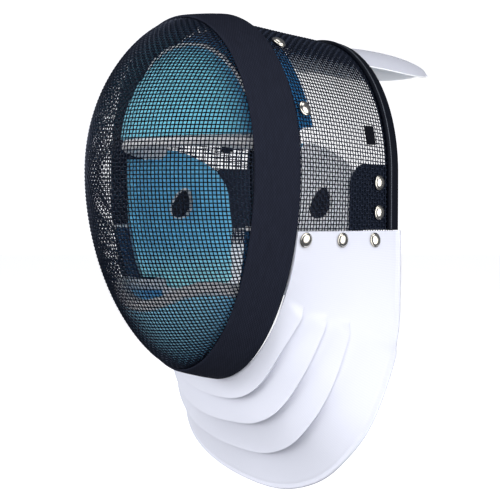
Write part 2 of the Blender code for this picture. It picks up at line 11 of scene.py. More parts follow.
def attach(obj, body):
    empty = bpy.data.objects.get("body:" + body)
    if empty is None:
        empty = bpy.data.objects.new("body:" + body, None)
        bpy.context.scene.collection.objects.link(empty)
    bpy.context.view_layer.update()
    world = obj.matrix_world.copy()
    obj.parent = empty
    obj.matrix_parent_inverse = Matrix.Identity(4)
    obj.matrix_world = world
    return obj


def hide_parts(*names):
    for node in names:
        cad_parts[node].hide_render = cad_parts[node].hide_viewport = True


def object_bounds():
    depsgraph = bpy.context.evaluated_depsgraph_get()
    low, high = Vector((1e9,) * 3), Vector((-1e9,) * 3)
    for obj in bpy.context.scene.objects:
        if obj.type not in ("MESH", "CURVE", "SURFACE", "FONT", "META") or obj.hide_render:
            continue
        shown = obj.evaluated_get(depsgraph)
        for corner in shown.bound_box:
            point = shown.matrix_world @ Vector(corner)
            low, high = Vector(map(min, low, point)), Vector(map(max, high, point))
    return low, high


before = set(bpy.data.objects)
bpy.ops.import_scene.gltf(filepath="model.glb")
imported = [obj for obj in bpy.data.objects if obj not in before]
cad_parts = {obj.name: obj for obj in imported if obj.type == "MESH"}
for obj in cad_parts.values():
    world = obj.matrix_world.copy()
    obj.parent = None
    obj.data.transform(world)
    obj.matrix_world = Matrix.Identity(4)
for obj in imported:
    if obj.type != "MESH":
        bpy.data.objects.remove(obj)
CAD_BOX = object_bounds()

# ---------------------------------------------------------------- sizes, in metres

# The mask's own frame: X to the wearer's left, Y to the back from the trim's front edge, Z up from its
# widest level. Its origin lies here in the row frame.
MASK_ORIGIN = Vector((0.0, -0.045, -0.0985))

RING = {"half_width": 0.0975, "up": 0.125, "down": 0.159, "upper_power": 2.05, "lower_power": 1.93}
# The trim's lip and its inside have their points at shares of its depth
TRIM = {"depth": 0.0385, "flare_side": 0.009, "flare_top": 0.004, "flare_chin": 0.009, "thickness": 0.004,
        "lap": 0.0002, "lip_front": 0.006, "lip_rear": 0.270, "inside": (0.995, 0.660, 0.330)}
# Its crowned face, from its front lip to its rear roll: share of its depth, and how far it stands out
TRIM_FACE = [
    (-0.003, -0.0013), (-0.003, -0.0008), (0.005, -0.0003), (0.020, -0.0001), (0.050, 0.0001),
    (0.120, 0.0003), (0.250, 0.0005), (0.380, 0.0006), (0.520, 0.0006), (0.660, 0.0006), (0.780, 0.0004),
    (0.880, 0.0003), (0.945, 0.0001), (0.980, -0.0004), (0.998, -0.0014), (1.002, -0.0028),
]
VISOR = {"wire": 0.00052, "inset": 0.0020, "depth": 0.0708, "depth_power": 1.485, "width_power": 0.965,
         "tuck": 0.008, "net_depth": 0.030, "columns": 54, "up_rows": 62, "down_rows": 72}
HOOD_SECTIONS = [
    {"y": 0.0600, "half_width": 0.1005, "top": 0.1222, "down": 0.190},
    {"y": 0.0950, "half_width": 0.0970, "top": 0.1185, "down": 0.260},
    {"y": 0.1250, "half_width": 0.0927, "top": 0.1158, "down": 0.420},
    {"y": 0.1560, "half_width": 0.0884, "top": 0.1120, "down": 0.800},
]
HOOD = {"ring_from": 0.0170, "hem": -0.060, "front": 0.0335, "rear": 0.1535, "wire": 0.00047,
        "long_wires": 149}
GAP = 0.0003
WALL = 0.0018
UNDER_TRIM = TRIM["thickness"] + GAP
INSIDE_WIRE = UNDER_TRIM + WALL + GAP

# Wire cloth: wire of about 1.0 mm, one every 3.1 mm. Where it shears, it locks when a cell's long diagonal
# is as many pitches as WIRE_LOCK.
WIRE_PITCH = 0.00312
WIRE_LOCK = 1.74
WIRE_SIDES = 5
CORD_SIDES = 8
# A direction that no cord runs along
CORD_LEAN = (0.13, 0.21, 0.97)

# Bib: its neck, three folds and hem, each from the chin round to the top edge, a point at every spoke
BIB_LINES = [
    [(0.0000, 0.0389, -0.1655), (0.0270, 0.0389, -0.1600), (0.0500, 0.0389, -0.1450),
     (0.0700, 0.0389, -0.1230), (0.0870, 0.0389, -0.0950), (0.0960, 0.0389, -0.0720),
     (0.1018, 0.0389, -0.0465)],
    [(0.0000, 0.0500, -0.1810), (0.0310, 0.0469, -0.1770), (0.0550, 0.0449, -0.1640),
     (0.0745, 0.0464, -0.1390), (0.0885, 0.0555, -0.1060), (0.0965, 0.0600, -0.0755),
     (0.1015, 0.0620, -0.0465)],
    [(0.0000, 0.0640, -0.2050), (0.0365, 0.0587, -0.2005), (0.0655, 0.0578, -0.1860),
     (0.0865, 0.0632, -0.1560), (0.0935, 0.0785, -0.1130), (0.0975, 0.0840, -0.0790),
     (0.0995, 0.0860, -0.0465)],
    [(0.0000, 0.0870, -0.2355), (0.0475, 0.0787, -0.2260), (0.0805, 0.0737, -0.2060),
     (0.0995, 0.0802, -0.1740), (0.0985, 0.1020, -0.1200), (0.0982, 0.1080, -0.0830),
     (0.0968, 0.1100, -0.0465)],
    [(0.0000, 0.1010, -0.2620), (0.0595, 0.0947, -0.2500), (0.0995, 0.0927, -0.2255),
     (0.1175, 0.1042, -0.1930), (0.1090, 0.1370, -0.1370), (0.1010, 0.1490, -0.0920),
     (0.0925, 0.1575, -0.0465)],
]
BIB = {"thickness": 0.0022, "rise": 0.0052, "last_rise": 0.0038, "curve": 1.60,
       "raised": (0.0, 0.0, 0.10, 0.19, 0.0), "seam_spoke": 4.0, "seam_fade": 0.22, "lip": 0.985,
       "lip_tuck": 0.55, "hem": 3.90, "hem_rise": 0.0011, "stitch": 3.895, "stitch_half": 0.012,
       "stitch_depth": 0.0004}
# Rows of points down each band of the bib, closest at its seam and its lip
BIB_ROWS = (0.0, 0.015, 0.04, *np.linspace(0.08, 0.90, 22), 0.94, 0.965, BIB["lip"], 0.996)

BINDING = {"width": 0.0115, "wall": 0.0019, "end": -0.0462, "crown": 1.05, "crown_front": 0.0045,
           "crown_rear": 0.0030, "back_top": 0.0002, "cord_end": -0.0455, "cord_from_front": 0.0026,
           "cord_out": 1.02, "cord": 0.00042}
# The binding's front lip and rear roll, the same outside and inside: how far behind its front edge or behind
# the hood's rear edge, and share of its wall
BINDING_LIP = [(0.0, 0.0), (0.0, 0.4), (0.0005, 0.8), (0.0016, 1.0)]
BINDING_ROLL = [(-0.0008, 0.95), (0.0009, 0.55)]

# Tongue: at each depth its half width, the height of its crest and how far its sides drop
TONGUE_SECTIONS = [
    (0.1300, 0.0250, 0.1070, 0.0060), (0.1500, 0.0320, 0.1079, 0.0092), (0.1590, 0.0340, 0.1076, 0.0110),
    (0.1720, 0.0352, 0.1104, 0.0134), (0.1880, 0.0355, 0.1111, 0.0152), (0.2080, 0.0345, 0.1102, 0.0160),
    (0.2300, 0.0310, 0.1082, 0.0155), (0.2480, 0.0250, 0.1054, 0.0125), (0.2630, 0.0170, 0.1020, 0.0078),
    (0.2730, 0.0085, 0.0987, 0.0027), (0.2770, 0.0020, 0.0970, 0.0004),
]
TONGUE = {"thickness": 0.0050, "full_from": 0.010, "thinning": 0.80, "thinning_power": 2.4,
          "piped_from": 0.1580, "piping": 0.0006}

# Pads: share of the full thickness left where they are sewn, and how far the outer face draws in there
PAD_THICKNESS = 0.012
CUP = {"last": 0.94, "sewn": 0.45, "seam_slope": 12, "seam_start": 0.25, "draw_in": 0.0006}
# Edgings: their height in front and at the sides, how soon it changes, and how square their section is
EDGING = {"brow": (0.0088, 0.0145), "chin": (0.0105, 0.0105), "slope": 2.5, "wide_power": 0.8,
          "high_power": 0.7}
BROW = {"edge": 0.028, "rear": 0.060, "reach": 0.0885, "plan": 0.85, "rear_rise": 0.006, "rear_from": 82,
        "rear_span": 4, "seam": 0.0169, "seam_lean": -0.10, "seam_out": 0.0006, "edging_ends": 0.935}
CHIN = {"edge": -0.0980, "rear": 0.036, "dip": 0.0125, "dip_power": 6, "peak": 0.0040, "clearance": 0.0013,
        "farthest": 0.120}

CHEEK = {"clearance": 0.0022, "thickness": 0.011, "sewn": 0.40, "draw_in": 0.0015, "vent_roll": 0.006,
         "edge_roll": 0.009, "roll_start": 0.15}
# Outline of a cheek pad, round from its upper front corner, as depth and height
CHEEK_OUTLINE = [
    (0.0125, 0.0130), (0.0300, 0.0135), (0.0440, 0.0140), (0.0500, 0.0215), (0.0610, 0.0215),
    (0.0760, 0.0180), (0.0900, 0.0125), (0.1040, 0.0045), (0.1130, -0.0070), (0.1175, -0.0210),
    (0.1190, -0.0460), (0.1170, -0.0710), (0.1120, -0.0900), (0.1040, -0.0950), (0.0850, -0.0970),
    (0.0570, -0.0970), (0.0430, -0.0960), (0.0390, -0.0868), (0.0160, -0.0862), (0.0140, -0.0800),
    (0.0118, -0.0600), (0.0115, -0.0400), (0.0120, -0.0200),
]
VENT = {"y": 0.0685, "z": -0.0245, "radius_y": 0.0112, "radius_z": 0.0130, "narrowing": 0.20, "lean": 0.0034,
        "net_depth": 0.0032, "net_thickness": 0.0016, "net_share": 0.97, "rim_share": 1.02,
        "net_rings": (0.02, 0.25, 0.5, 0.75, 1.0)}
VENT_RIM_DEPTHS = {"inner": 0.0064, "middle": 0.0044, "outer": 0.0012}

# Radius of the white piping: on the brow cushion's seam, on the side linings and round the vents
PIPING = {"brow": 0.0019, "lining": 0.0018, "vent": 0.0014}

LINING = {"inset": 0.0048, "thickness": 0.0016, "front": -0.0015, "rear": 0.0180, "slant": 0.10,
          "low": -0.0870, "high": -0.0440}

PATCH = {"front": 0.100, "rear": 0.1440, "bottom": -0.0460, "top": 0.0070, "corner": 0.014,
         "corner_share": 0.4, "thickness": 0.0012}
TAB_SQUARES = [
    {"front": 0.1178, "rear": 0.1292, "bottom": 0.0300, "top": 0.0376, "out": 0.0016},
    {"front": 0.1174, "rear": 0.1284, "bottom": 0.0223, "top": 0.0306, "out": 0.0024},
]
TAB_THICKNESS = 0.0010

FLOOR = {"below": 0.030, "radius": 8.0, "sides": 96, "shade_from": 0.08, "shade_to": 0.26, "glow": 0.90}
CAMERA = {"azimuth": 51.0, "elevation": 1.5, "distance": 1.128, "lens_mm": 108.0, "sensor_mm": 36.0}
CAMERA_TARGET = Vector((0.0909, -0.045, -0.1585))
LAMP_TARGET = Vector((0.0, 0.0, -0.16))
# Lamps: azimuth from the front and elevation in degrees, distance, size, strength, and what they give
LAMPS = {
    "key": (54, 36, 1.9, 1.2, 0.64, "light"),
    "fill": (50, 2, 1.9, 1.4, 0.50, "light"),
    "left": (-48, 12, 1.9, 1.0, 0.50, "light and sheen"),
    "low_left": (-15, 6, 1.9, 1.2, 0.62, "light"),
    "right": (112, 0, 1.9, 1.4, 0.68, "light"),
    "right_card": (108, 4, 1.9, 2.4, 1.00, "sheen"),
    "top_card": (110, 72, 1.9, 1.4, 0.25, "sheen"),
    "floor_card": (0, -90, 0.225, 1.4, 3.70, "light"),
}

# How many points each shape takes: stations, or rows and columns
POINTS = {"trim": 240, "binding": 240, "binding_cord": 260, "hood_side": 40, "hood_top": 361, "bib_spoke": 16,
          "tongue": (90, 41), "cup": (30, 81), "edging": (81, 20), "brow_seam": 181, "lining": (26, 14),
          "lining_piping": 20, "cheek": (26, 160), "net": 64, "plate": 24, "snap": 40}
# Steps that find a place by halving, and by Newton's method
HALVINGS = 22
NEWTON_STEPS = 8
# Anything smaller is a rounding error
ROUNDING = 1e-9
# The axes of the mask's frame that a knit's painted shading follows
DEPTH, HEIGHT = 1, 2


# ---------------------------------------------------------------- placing, and the camera

def new_object(name, data):
    """An object with this data, in the scene."""
    made = bpy.data.objects.new(name, data)
    bpy.context.scene.collection.objects.link(made)
    return made


def look_from(thing, target, azimuth, elevation, distance):
    """A camera or lamp stands off its target, at an azimuth from the front and an elevation, and faces it."""
    turn, rise = math.radians(azimuth), math.radians(elevation)
    away = Vector((math.sin(turn) * math.cos(rise), -math.cos(turn) * math.cos(rise), math.sin(rise)))
    thing.location = target + away * distance
    thing.rotation_euler = (-away).to_track_quat("-Z", "Y").to_euler()


def stand_camera():
    """A 108 mm lens, 1.13 m from the mask, a little above its middle and 51 degrees round to its left."""
    lens = bpy.data.cameras.new("camera")
    lens.lens = CAMERA["lens_mm"]
    lens.sensor_width = CAMERA["sensor_mm"]
    camera = new_object("camera", lens)
    look_from(camera, CAMERA_TARGET, CAMERA["azimuth"], CAMERA["elevation"], CAMERA["distance"])
    bpy.context.scene.camera = camera


stand_camera()


# ---------------------------------------------------------------- finishes

def colour(code):
    """An sRGB hex value as a linear colour."""
    values = [int(code[place:place + 2], 16) / 255 for place in (1, 3, 5)]
    return (*[v / 12.92 if v <= 0.04045 else ((v + 0.055) / 1.055) ** 2.4 for v in values], 1.0)


def add(tree, kind, settings=None, **links):
    """A node with its settings and what feeds its sockets: a value, an output, or a node's first output."""
    made = tree.nodes.new(kind)
    for name, value in (settings or {}).items():
        setattr(made, name, value)
    for name, value in links.items():
        place = int(name[1:]) if name[0] == "i" and name[1:].isdigit() else name.replace("_", " ")
        socket = made.inputs[place]
        value = value.outputs[0] if isinstance(value, bpy.types.Node) else value
        if isinstance(value, bpy.types.NodeSocket):
            tree.links.new(value, socket)
        else:
            socket.default_value = value
    return made


def new_finish(name, **shader_values):
    """A material whose shader takes these values on its own sockets."""
    made = bpy.data.materials.new(name)
    made.use_nodes = True
    shader = made.node_tree.nodes["Principled BSDF"]
    for socket, value in shader_values.items():
        shader.inputs[socket.replace("_", " ")].default_value = value
    return made, made.node_tree, shader


def thread_heights(tree, across_mm, along_mm, slant=0.0):
    """Rounded threads crossing over and under, from the cloth's own lengths in its UV map."""
    lengths = add(tree, "ShaderNodeSeparateXYZ", Vector=add(tree, "ShaderNodeUVMap"))
    across = add(tree, "ShaderNodeMath", {"operation": "MULTIPLY"}, i0=lengths.outputs[0],
                 i1=math.pi / (across_mm * 0.001))
    along = add(tree, "ShaderNodeMath", {"operation": "MULTIPLY"}, i0=lengths.outputs[1],
                i1=math.pi / (along_mm * 0.001))
    leaning = add(tree, "ShaderNodeMath", {"operation": "MULTIPLY_ADD"}, i0=along, i1=slant, i2=across)
    warp = add(tree, "ShaderNodeMath", {"operation": "SINE"}, i0=leaning)
    weft = add(tree, "ShaderNodeMath", {"operation": "SINE"}, i0=along)
    crossing = add(tree, "ShaderNodeMath", {"operation": "MULTIPLY"}, i0=warp, i1=weft)
    return add(tree, "ShaderNodeMath", {"operation": "MULTIPLY_ADD"}, i0=crossing, i1=0.5, i2=0.5)


def press_in(tree, shader, height, strength, distance_mm):
    """Height drives the bump of the finish."""
    bump = add(tree, "ShaderNodeBump", Strength=strength, Distance=distance_mm * 0.001, Height=height)
    tree.links.new(bump.outputs[0], shader.inputs["Normal"])


def blend_colours(tree, shader, share, low, high):
    """The finish's colour goes from low to high with a share."""
    mixed = add(tree, "ShaderNodeMix", {"data_type": "RGBA"}, i0=share, i6=colour(low), i7=colour(high))
    tree.links.new(mixed.outputs[2], shader.inputs["Base Color"])


def spots_across(width_mm, spot_mm):
    """The scale of a noise, which runs over its piece's own box: the box's width over the size of a spot."""
    return width_mm / spot_mm


def woven_cloth(name, threads_mm, low, high, relief=None, slant=0.0, **shader_values):
    """Rounded threads, so far apart across and along, with low as the colour of the hollows and high as that
    of the crests. relief is the strength of their bump and its depth in millimetres."""
    made, tree, shader = new_finish(name, **shader_values)
    height = thread_heights(tree, *threads_mm, slant)
    blend_colours(tree, shader, height, low, high)
    if relief:
        press_in(tree, shader, height, *relief)
    return made


def enamelled_steel_wire():
    """Black enamel baked on steel wire: near black, glossy enough to glint where a knuckle turns to a light.
    Its dust lies in spots of 0.9 mm."""
    made, tree, shader = new_finish("enamelled_steel_wire", Roughness=0.26, IOR=1.5,
                                    Specular_Tint=colour("#a8bcf0"))
    dust = add(tree, "ShaderNodeTexNoise", Scale=spots_across(198.0, 0.9), Detail=2.0)
    blend_colours(tree, shader, dust, "#06080d", "#10151f")
    return made


def ribbed_nylon_tape():
    """Woven nylon tape, dyed charcoal navy: matt, a little clouded. Its ribs lie every 1.6 mm, twice as
    coarse as real ones, so that they show."""
    made, tree, shader = new_finish("ribbed_nylon_tape", Roughness=0.88, IOR=1.53, Specular_IOR_Level=0.04)
    height = thread_heights(tree, 1.6, 1.1)
    cloud = add(tree, "ShaderNodeTexNoise", Scale=spots_across(212.8, 7.6), Detail=3.0)
    share = add(tree, "ShaderNodeMath", {"operation": "MULTIPLY"}, i0=height, i1=cloud)
    blend_colours(tree, shader, share, "#161821", "#2a2e3c")
    press_in(tree, shader, height, 0.35, 0.25)
    return made


def grained_vinyl(name, hollow, crest):
    """Soft vinyl, embossed with a leather grain of 0.2 mm on the binding: near black, with a satin gloss."""
    made, tree, shader = new_finish(name, Roughness=0.45, IOR=1.52, Specular_IOR_Level=0.05)
    grain = add(tree, "ShaderNodeTexVoronoi", {"feature": "DISTANCE_TO_EDGE"}, Scale=spots_across(180.0, 0.2))
    blend_colours(tree, shader, grain, hollow, crest)
    press_in(tree, shader, grain, 0.3, 0.2)
    return made


def white_nylon_twill():
    """Close white nylon twill of the bib: bright and matt, with a faint diagonal every 0.8 mm."""
    return woven_cloth("white_nylon_twill", (0.8, 0.8), "#c9cbd7", "#cfd1dc", (0.05, 0.1), slant=1.0,
                       Roughness=0.62, IOR=1.53, Sheen_Weight=0.10, Sheen_Roughness=0.4)


def white_lining():
    """Plain white lining: matt, with a 0.7 mm weave."""
    return woven_cloth("white_lining", (0.7, 0.7), "#f2f4f9", "#fbfcff", (0.15, 0.1), Roughness=0.8, IOR=1.5)


def white_piping_cloth():
    """White cotton tape round the pads' edges: matt, ribbed every 1.0 mm."""
    return woven_cloth("white_piping_cloth", (1.0, 1.0), "#dddcdf", "#f2f1f2", (0.2, 0.15), Roughness=0.85,
                       IOR=1.5)


def grey_seam_cord():
    """Twisted dark grey thread along the binding's seam: matt, a turn every 1 mm."""
    return woven_cloth("grey_seam_cord", (1.0, 1.0), "#2c3038", "#5e636d", slant=1.0, Roughness=0.8, IOR=1.5)


def black_spacer_net():
    """Knitted spacer net in the vents: black, with round cells every 2 mm."""
    return woven_cloth("black_spacer_net", (2.0, 2.0), "#040507", "#2c2e36", (0.6, 0.5), Roughness=0.85,
                       IOR=1.5, Specular_IOR_Level=0.1)


def black_hook_tape():
    """Woven hook tape: black and dull, with rows of tiny hooks every 1.4 mm."""
    return woven_cloth("black_hook_tape", (1.4, 1.4), "#06070b", "#13151c", (0.7, 0.5), Roughness=0.8,
                       IOR=1.5, Specular_IOR_Level=0.05)


def brushed_knit(name, deep, bright, painted_shading, axis, fully_painted_at, unpainted_at):
    """Brushed polyester knit over foam: matt, with loops every 1.2 mm and a raised nap in tufts of 4.4 mm on
    the brow. Along one of the mask's axes its colour goes over to a painted shading: painted shade where the
    panel turns back, when that colour is darker than the knit, and a painted highlight when it is lighter."""
    made, tree, shader = new_finish(name, Roughness=0.9, IOR=1.5, Sheen_Weight=0.2, Sheen_Roughness=0.45,
                                    Specular_IOR_Level=0.25)
    height = thread_heights(tree, 1.2, 1.5)
    nap = add(tree, "ShaderNodeTexNoise", Scale=spots_across(198.0, 4.4), Detail=5.0)
    tufts = add(tree, "ShaderNodeMath", {"operation": "MULTIPLY"}, i0=nap, i1=0.8)
    share = add(tree, "ShaderNodeMath", {"operation": "MULTIPLY_ADD"}, i0=height, i1=0.35, i2=tufts)
    knit = add(tree, "ShaderNodeMix", {"data_type": "RGBA"}, i0=share, i6=colour(deep), i7=colour(bright))
    place = add(tree, "ShaderNodeSeparateXYZ", Vector=add(tree, "ShaderNodeTexCoord").outputs["Object"])
    # Painted shading: how far along one axis the knit gives way to its painted shade (a painted highlight on
    # the cheeks)
    turned = add(tree, "ShaderNodeMapRange", {"interpolation_type": "SMOOTHSTEP"}, i0=place.outputs[axis],
                 i1=unpainted_at, i2=fully_painted_at)
    knit_with_painted_shading = add(tree, "ShaderNodeMix", {"data_type": "RGBA"}, i0=turned, i6=knit.outputs[2], i7=colour(painted_shading))
    tree.links.new(knit_with_painted_shading.outputs[2], shader.inputs["Base Color"])
    press_in(tree, shader, height, 0.25, 0.3)
    return made


def nickel_plated_brass():
    """Nickel plate on pressed brass: warm bright metal, its gloss broken by rubbing too fine to show."""
    made, tree, shader = new_finish("nickel_plated_brass", Metallic=1.0, Base_Color=colour("#e2ddd2"))
    rubbing = add(tree, "ShaderNodeTexNoise", Scale=spots_across(11.9, 0.017), Detail=3.0)
    rough = add(tree, "ShaderNodeMapRange", i0=rubbing, i3=0.14, i4=0.26)
    tree.links.new(rough.outputs[0], shader.inputs["Roughness"])
    return made


FINISH = {
    "wire": enamelled_steel_wire(),
    "tape": ribbed_nylon_tape(),
    "vinyl": grained_vinyl("binding_vinyl", "#0a0c13", "#181c28"),
    # Partly painted sheen: the patch's vinyl is lighter and bluer than the binding's, for the glints of the
    # wires over it
    "patch_vinyl_with_painted_sheen": grained_vinyl("patch_vinyl_with_painted_sheen", "#141a26", "#2c364b"),
    "twill": white_nylon_twill(),
    "lining": white_lining(),
    # Painted shade: the brow knit darkens from teal to blue towards its back
    "brow_knit": brushed_knit("teal_brushed_knit", "#5cc2e4", "#98e8f8", "#1f74b0", DEPTH, 0.016, -0.008),
    # Painted shade: the chin knit darkens towards its back
    "chin_knit": brushed_knit("deep_teal_brushed_knit", "#7ad0f8", "#b2ecff", "#5cb0e8", DEPTH, 0.02, -0.02),
    # Painted highlight: the cheek knit turns pale cyan towards the bottom
    "cheek_knit": brushed_knit("blue_brushed_knit", "#62c4f4", "#88dafa", "#b4fafe", HEIGHT, -0.1, -0.052),
    # Painted shade: the side linings are navy for the shade beside the chin cushion, darker still towards the
    # bottom
    "navy_painted_shade_knit": brushed_knit("navy_painted_shade_brushed_knit", "#12304e", "#1f4d74", "#12304e", HEIGHT, -0.1, -0.05),
    "piping": white_piping_cloth(),
    "grey_cord": grey_seam_cord(),
    "net": black_spacer_net(),
    "nickel": nickel_plated_brass(),
    "hooks": black_hook_tape(),
}


# ---------------------------------------------------------------- the mask's curves

def ring_sizes(y, inset=0.0):
    """Half width, upper reach and lower reach of the trim's outside at a depth, less an inset."""
    share = y / TRIM["depth"]
    return (RING["half_width"] + TRIM["flare_side"] * share - inset,
            RING["up"] + TRIM["flare_top"] * share - inset,
            RING["down"] + TRIM["flare_chin"] * share - inset)


def signed_power(value, power):
    """A power of a value's size, with the value's sign."""
    return math.copysign(abs(value) ** power, value)


def turns(count):
    """So many angles evenly round a full turn."""
    return np.linspace(0, 2 * math.pi, count, endpoint=False)


def egg(angle, half_width, up, down):
    """A point of the face ring's egg, by its angle from the top."""
    across, along = math.sin(angle), math.cos(angle)
    power = RING["upper_power"] if along >= 0 else RING["lower_power"]
    reach = up if along >= 0 else down
    return half_width * signed_power(across, 2 / power), reach * signed_power(along, 2 / power)


def egg_half_width(z, half_width, up, down):
    """Half width of the egg at a height."""
    reach, power = (up, RING["upper_power"]) if z >= 0 else (down, RING["lower_power"])
    return half_width * max(0.0, 1 - abs(z / reach) ** power) ** (1 / power)


def hood_sizes(y):
    """Half width, top and lower reach of the hood's outside at a depth."""
    rows = [(depth, *ring_sizes(depth, UNDER_TRIM)) for depth in (HOOD["ring_from"], TRIM["depth"])]
    rows += [(row["y"], row["half_width"], row["top"], row["down"]) for row in HOOD_SECTIONS]
    depths = [row[0] for row in rows]
    return [float(np.interp(y, depths, [row[column] for row in rows])) for column in (1, 2, 3)]


def hood_wall(y, z, inset=0.0):
    """Half width of the hood at a depth and a height."""
    return egg_half_width(z, *[size - inset for size in hood_sizes(y)])


def hood_arch(y, inset, hem, count):
    """Points evenly spaced along the hood at a depth, from its left hem over the top to its right hem."""
    sizes = [size - inset for size in hood_sizes(y)]
    side = [(egg_half_width(z, *sizes), z) for z in np.linspace(hem, 0, POINTS["hood_side"])[:-1]]
    arch = [egg(angle, *sizes) for angle in np.linspace(math.pi / 2, -math.pi / 2, POINTS["hood_top"])]
    flat = np.array(side + arch + [(-x, z) for x, z in reversed(side)])
    lengths = np.concatenate([[0], np.cumsum(np.linalg.norm(np.diff(flat, axis=0), axis=1))])
    places = np.linspace(0, lengths[-1], count)
    return np.stack([np.interp(places, lengths, flat[:, 0]), np.full(count, y),
                     np.interp(places, lengths, flat[:, 1])], axis=1)


def smooth_between(rows, place):
    """A point of the smooth curve that runs through the rows, at a place counted in rows."""
    index = min(int(place), len(rows) - 2)
    share = place - index
    before = rows[index - 1] if index else 2 * rows[0] - rows[1]
    start, end = rows[index], rows[index + 1]
    after = rows[index + 2] if index + 2 < len(rows) else 2 * end - start
    bend = 2 * before - 5 * start + 4 * end - after
    twist = 3 * start - before - 3 * end + after
    return start + 0.5 * share * (end - before + share * (bend + share * twist))


def last_place(low, high, holds):
    """The last place from low to high where a condition still holds, found by halving."""
    for _ in range(HALVINGS):
        middle = (low + high) / 2
        low, high = (middle, high) if holds(middle) else (low, middle)
    return low


# ---------------------------------------------------------------- meshes

def put_on(piece, replaced=()):
    """The piece takes its place on the mask and rides with it."""
    piece.location = MASK_ORIGIN
    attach(piece, "root")
    if replaced:
        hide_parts(*replaced)


def new_mesh(name, points, faces, finishes, face_finish=None, face_lengths=None, sharp=50):
    """A smooth mesh with sharp edges past an angle in degrees; face_lengths gives each corner's place on the
    cloth, in metres."""
    data = bpy.data.meshes.new(name)
    data.from_pydata(points, [], faces)
    if face_lengths is not None:
        layer = data.uv_layers.new(name="cloth_lengths")
        layer.data.foreach_set("uv", np.asarray(face_lengths, np.float32).ravel())
    for finish in finishes:
        data.materials.append(finish)
    if face_finish is not None:
        data.polygons.foreach_set("material_index", np.asarray(face_finish, np.int32))
    data.shade_smooth()
    data.set_sharp_from_angle(angle=math.radians(sharp))
    return data


def turn_out(piece, cap=False):
    """The piece's faces turn outward; with cap, its open ends are closed first."""
    made = bmesh.new()
    made.from_mesh(piece.data)
    if cap:
        bmesh.ops.holes_fill(made, edges=[edge for edge in made.edges if edge.is_boundary], sides=0)
    bmesh.ops.recalc_face_normals(made, faces=made.faces)
    made.to_mesh(piece.data)
    made.free()
    return piece


def lengths_of(grid, closed):
    """Distances along the rows and down the columns of a grid, at every point."""
    ring = np.concatenate([grid, grid[:, :1]], axis=1) if closed else grid
    across = np.cumsum(np.linalg.norm(np.diff(ring, axis=1), axis=2).mean(0))
    down = np.cumsum(np.linalg.norm(np.diff(grid, axis=0), axis=2).mean(1))
    return np.concatenate([[0], across]), np.concatenate([[0], down])


def quads_between(rows, columns, down, across):
    """Quads of a grid of points, so many down and across, and the row and column where each begins."""
    row, column = [index.ravel() for index in np.meshgrid(np.arange(down), np.arange(across), indexing="ij")]
    beside, below = (column + 1) % columns, (row + 1) % rows
    quads = np.stack([row * columns + column, row * columns + beside, below * columns + beside,
                      below * columns + column], axis=1)
    return quads, row, column


def places_between(row, column, across, down):
    """The quads' corners as places on the cloth, from the distances across and down it."""
    corners = [(column, row), (column + 1, row), (column + 1, row + 1), (column, row + 1)]
    return np.stack([np.stack([across[right], down[low]], axis=1) for right, low in corners], axis=1)


def face_pair(rows, columns, points):
    """Two grids, a piece's outer face and its inner one; points gives both points at a row and a column."""
    both = np.array([[points(row, column) for column in columns] for row in rows], float)
    return both[:, :, 0], both[:, :, 1]


def skin(name, outer, inner, finishes, closed=False, sharp=50, rim_finish=0):
    """A closed skin between two grids of points: the first finish outside, the last inside."""
    rows, columns = outer.shape[:2]
    count = rows * columns
    across, down = lengths_of(outer, closed)
    quads, row, column = quads_between(rows, columns, rows - 1, columns if closed else columns - 1)
    places = places_between(row, column, across, down)
    index = np.arange(count).reshape(rows, columns)
    edges = [(np.append(index[end], index[end, 0]) if closed else index[end], across) for end in (0, -1)]
    if not closed:
        edges += [(index[:, end], down) for end in (0, -1)]
    wall = float(np.linalg.norm(outer[0, 0] - inner[0, 0]))
    rims, rim_places = [], []
    for edge, lengths in edges:
        for start, end, near, far in zip(edge[:-1], edge[1:], lengths[:-1], lengths[1:]):
            rims.append([start, end, count + end, count + start])
            rim_places.append([[near, 0], [far, 0], [far, wall], [near, wall]])
    points = np.concatenate([outer.reshape(-1, 3), inner.reshape(-1, 3)])
    faces = np.concatenate([quads, quads[:, ::-1] + count, np.array(rims)])
    places = np.concatenate([places, places[:, ::-1], np.array(rim_places)])
    which = [0] * len(quads) + [len(finishes) - 1] * len(quads) + [rim_finish] * len(rims)
    data = new_mesh(name, points.tolist(), faces.tolist(), finishes, which, places, sharp)
    return turn_out(new_object(name, data))


def swept(name, stations, finish, closed=False, sharp=50):
    """A closed section carried along stations."""
    grid = np.asarray(stations, float)
    rows, columns = grid.shape[:2]
    around, along = lengths_of(grid, True)
    along = np.append(along, along[-1] + along[1])
    quads, row, column = quads_between(rows, columns, rows if closed else rows - 1, columns)
    places = places_between(row, column, around, along)[:, :, ::-1]
    data = new_mesh(name, grid.reshape(-1, 3).tolist(), quads.tolist(), [finish], None, places, sharp)
    return turn_out(new_object(name, data), cap=not closed)


def round_sections(path, along, lean, radius, sides):
    """Circles round the points of a path, square to it; lean is any direction that isn't along it."""
    along = along / np.linalg.norm(along, axis=1)[:, None]
    side = np.cross(along, lean)
    side /= np.linalg.norm(side, axis=1)[:, None]
    up = np.cross(side, along)
    turn = turns(sides)
    ring = side[:, None] * np.cos(turn)[None, :, None] + up[:, None] * np.sin(turn)[None, :, None]
    return path[:, None] + radius * ring


def tube(name, line, radius, finish, closed=False):
    """A round cord along a line of points."""
    line = np.asarray(line, float)
    if closed:
        ahead, behind = np.roll(line, -1, axis=0), np.roll(line, 1, axis=0)
    else:
        ahead = np.concatenate([line[1:], line[-1:]])
        behind = np.concatenate([line[:1], line[:-1]])
    stations = round_sections(line, ahead - behind, CORD_LEAN, radius, CORD_SIDES)
    return swept(name, stations, finish, closed=closed, sharp=80)


def put_on_piping(name, line, radius, finish="piping", closed=False):
    """White piping takes its place along a line."""
    put_on(tube(name, line, radius, FINISH[finish], closed))


# ---------------------------------------------------------------- wire cloth

